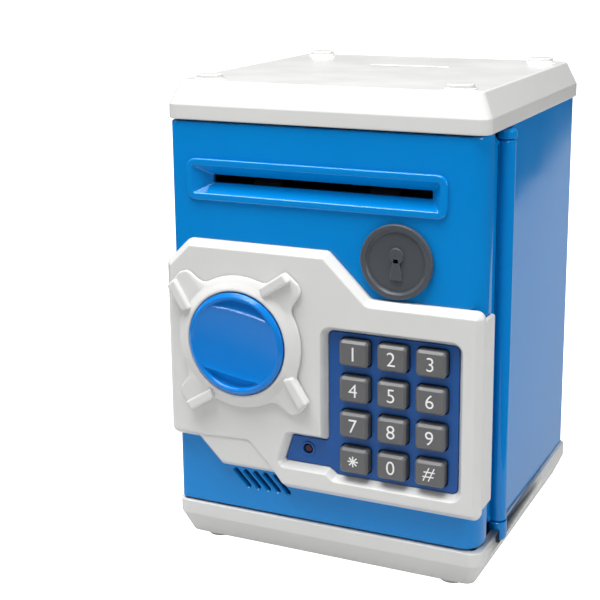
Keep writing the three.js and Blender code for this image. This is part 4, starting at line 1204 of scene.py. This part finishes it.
# ---- the studio ----
@dataclass
class Studio:
    """Floor, soft lights, bright surround and camera.

    Attributes:
        yaw: how far the camera stands round to the object's right, in degrees.
        pitch: how far it looks down, in degrees.
        roll: how far it is tilted, in degrees.
        distance: from the point that it looks at, in metres.
        aim: that point, in millimetres from the case's middle.
        aside: how far the camera then moves to its right and up, in millimetres.
        lens: focal length in millimetres on a 36 mm sensor.
        rise: how far the picture is shifted up, as a share of its width.
    """

    yaw: float = 25.41
    pitch: float = 13.04
    roll: float = -0.6
    distance: float = 0.551
    aim: tuple[float, float, float] = (0.0, 0.0, 94.0)
    aside: tuple[float, float] = (-34.1, 21.7)
    lens: float = 79.67
    rise: float = -0.1

    def camera(self) -> None:
        """Makes the camera: looking along its forward direction at the aim, moved aside, then rolled."""
        yaw, pitch, roll = (math.radians(a) for a in (self.yaw, self.pitch, self.roll))
        forward = Vector((-math.sin(yaw) * math.cos(pitch), math.cos(yaw) * math.cos(pitch),
                          -math.sin(pitch)))
        right = Vector((math.cos(yaw), math.sin(yaw), 0))
        up = right.cross(forward)
        right, up = (right * math.cos(roll) + up * math.sin(roll),
                     up * math.cos(roll) - right * math.sin(roll))
        point = Vector((np.array(self.aim) + DATUM) * MM) + (right * self.aside[0] + up * self.aside[1]) * MM
        data = bpy.data.cameras.new("studio_camera")
        data.lens = self.lens
        data.shift_y = self.rise
        data.sensor_width = 36.0
        data.clip_start = 0.01
        data.clip_end = 50.0
        camera = bpy.data.objects.new("studio_camera", data)
        turn = Matrix((right, up, -forward)).transposed()
        camera.matrix_world = Matrix.Translation(point - forward * self.distance) @ turn.to_4x4()
        bpy.context.scene.collection.objects.link(camera)
        bpy.context.scene.camera = camera

    def floor(self) -> None:
        """A wide pale floor with a faint mottle."""
        mesh = bpy.data.meshes.new("floor")
        mesh.from_pydata([(-6, -6, 0), (6, -6, 0), (6, 6, 0), (-6, 6, 0)], [], [(0, 1, 2, 3)])
        plane = bpy.data.objects.new("floor", mesh)
        bpy.context.scene.collection.objects.link(plane)
        material = bpy.data.materials.new("pale_floor")
        material.use_nodes = True
        graph = Graph(material.node_tree)
        shader = material.node_tree.nodes["Principled BSDF"]
        place_socket = graph.add("ShaderNodeTexCoord").outputs["Object"]
        tint = graph.spread(graph.noise(place_socket, 9.0, 3.0), 0.3, 0.7, 0.53, 0.56)
        both = graph.add("ShaderNodeCombineColor", {0: tint, 1: tint, 2: tint})
        material.node_tree.links.new(both.outputs[0], shader.inputs["Base Color"])
        material.node_tree.links.new(both.outputs[0], shader.inputs["Emission Color"])
        ray = graph.add("ShaderNodeLightPath")
        glow = graph.maths("MULTIPLY", ray.outputs["Is Camera Ray"], 2.5)
        material.node_tree.links.new(glow, shader.inputs["Emission Strength"])
        shader.inputs["Roughness"].default_value = 0.9
        shader.inputs["Specular IOR Level"].default_value = 0.1
        mesh.materials.append(material)
        plane.visible_glossy = False

    def card(self, name: str, corners: Sequence[Sequence[float]], strength: float) -> None:
        """A card that only shows in reflections, glowing with a strength."""
        mesh = bpy.data.meshes.new(name)
        mesh.from_pydata([tuple(c) for c in corners], [], [tuple(range(len(corners)))])
        card = bpy.data.objects.new(name, mesh)
        bpy.context.scene.collection.objects.link(card)
        material = bpy.data.materials.new(name)
        material.use_nodes = True
        material.node_tree.nodes.clear()
        graph = Graph(material.node_tree)
        glow = graph.add("ShaderNodeEmission", {"Strength": strength})
        graph.add("ShaderNodeOutputMaterial", {"Surface": glow.outputs[0]})
        mesh.materials.append(material)
        card.visible_camera = False
        card.visible_diffuse = False
        card.visible_shadow = False
        card.visible_transmission = False

    def lamp(self, name: str, where: Sequence[float], towards: Sequence[float], size: Sequence[float],
             power: float, shine: bool = True) -> None:
        """A soft rectangular light.

        Args:
            name: the light's name.
            where: its middle, in metres.
            towards: the point that it faces.
            size: its width and height in metres.
            power: its power in watts.
            shine: False if gloss doesn't mirror it.
        """
        data = bpy.data.lights.new(name, "AREA")
        data.shape = "RECTANGLE"
        data.size, data.size_y = size
        data.energy = power
        light = bpy.data.objects.new(name, data)
        light.location = where
        light.rotation_mode = "QUATERNION"
        light.rotation_quaternion = (Vector(towards) - Vector(where)).to_track_quat("-Z", "Y")
        light.visible_camera = False
        light.visible_glossy = shine
        bpy.context.scene.collection.objects.link(light)

    def surround(self) -> None:
        """The world: white to the eye, softer as light, dim in reflections."""
        world = bpy.data.worlds.new("bright_surround")
        bpy.context.scene.world = world
        world.use_nodes = True
        tree = world.node_tree
        tree.nodes.clear()
        graph = Graph(tree)
        ray = graph.add("ShaderNodeLightPath")
        seen = graph.maths("MULTIPLY", ray.outputs["Is Camera Ray"], 0.8)
        shine = graph.maths("MULTIPLY", ray.outputs["Is Glossy Ray"], -0.17)
        strength = graph.maths("ADD", graph.maths("ADD", 0.22, seen), shine)
        back = graph.add("ShaderNodeBackground", {"Strength": strength})
        back.inputs["Color"].default_value = (1, 1, 1, 1)
        graph.add("ShaderNodeOutputWorld", {"Surface": back.outputs[0]})

    def build(self) -> None:
        """Sets the whole studio up."""
        self.camera()
        self.floor()
        self.surround()
        middle = (0.0, 0.0, 0.09)
        self.lamp("overhead_box", (-0.15, -0.25, 1.2), middle, (1.0, 0.8), 26.0)
        self.lamp("front_left_box", (-1.1, -0.9, 0.6), middle, (0.8, 0.8), 1.5)
        self.lamp("right_box", (1.2, -0.2, 0.6), middle, (0.35, 0.8), 5.0)
        self.card("rear_right_card", [(-0.4, -0.3, -0.001), (0.13, -0.3, -0.001), (0.175, 0.05, -0.001),
                                      (0.253, 0.635, -0.001), (0.271, 0.75, -0.001), (0.276, 0.82, -0.001),
                                      (0.309, 1.03, -0.001), (0.36, 1.4, -0.001), (-0.4, 1.4, -0.001)], 0.65)
        scene = bpy.context.scene
        scene.view_settings.view_transform = "Standard"
        scene.view_settings.look = "None"


def main() -> None:
    """Builds the bank, sub-assembly by sub-assembly, then the studio."""
    logging.basicConfig(level=logging.INFO, format="%(name)s %(message)s")
    pin, dial = spot("hinge_pin"), spot("dial_spindle")
    hinge, axis = (pin[0], pin[1]), (dial[0], dial[2])
    trays, case = Trays(), Case()
    trays.lid()
    trays.base(case.lug_plan(hinge))
    case.build(hinge, trays.screws())
    Door().build(hinge, axis)
    Fascia().build(axis)
    Keypad().build()
    Badge().build()
    Dial().build(axis)
    Works().build()
    Studio().build()


if __name__ == "__main__":
    main()
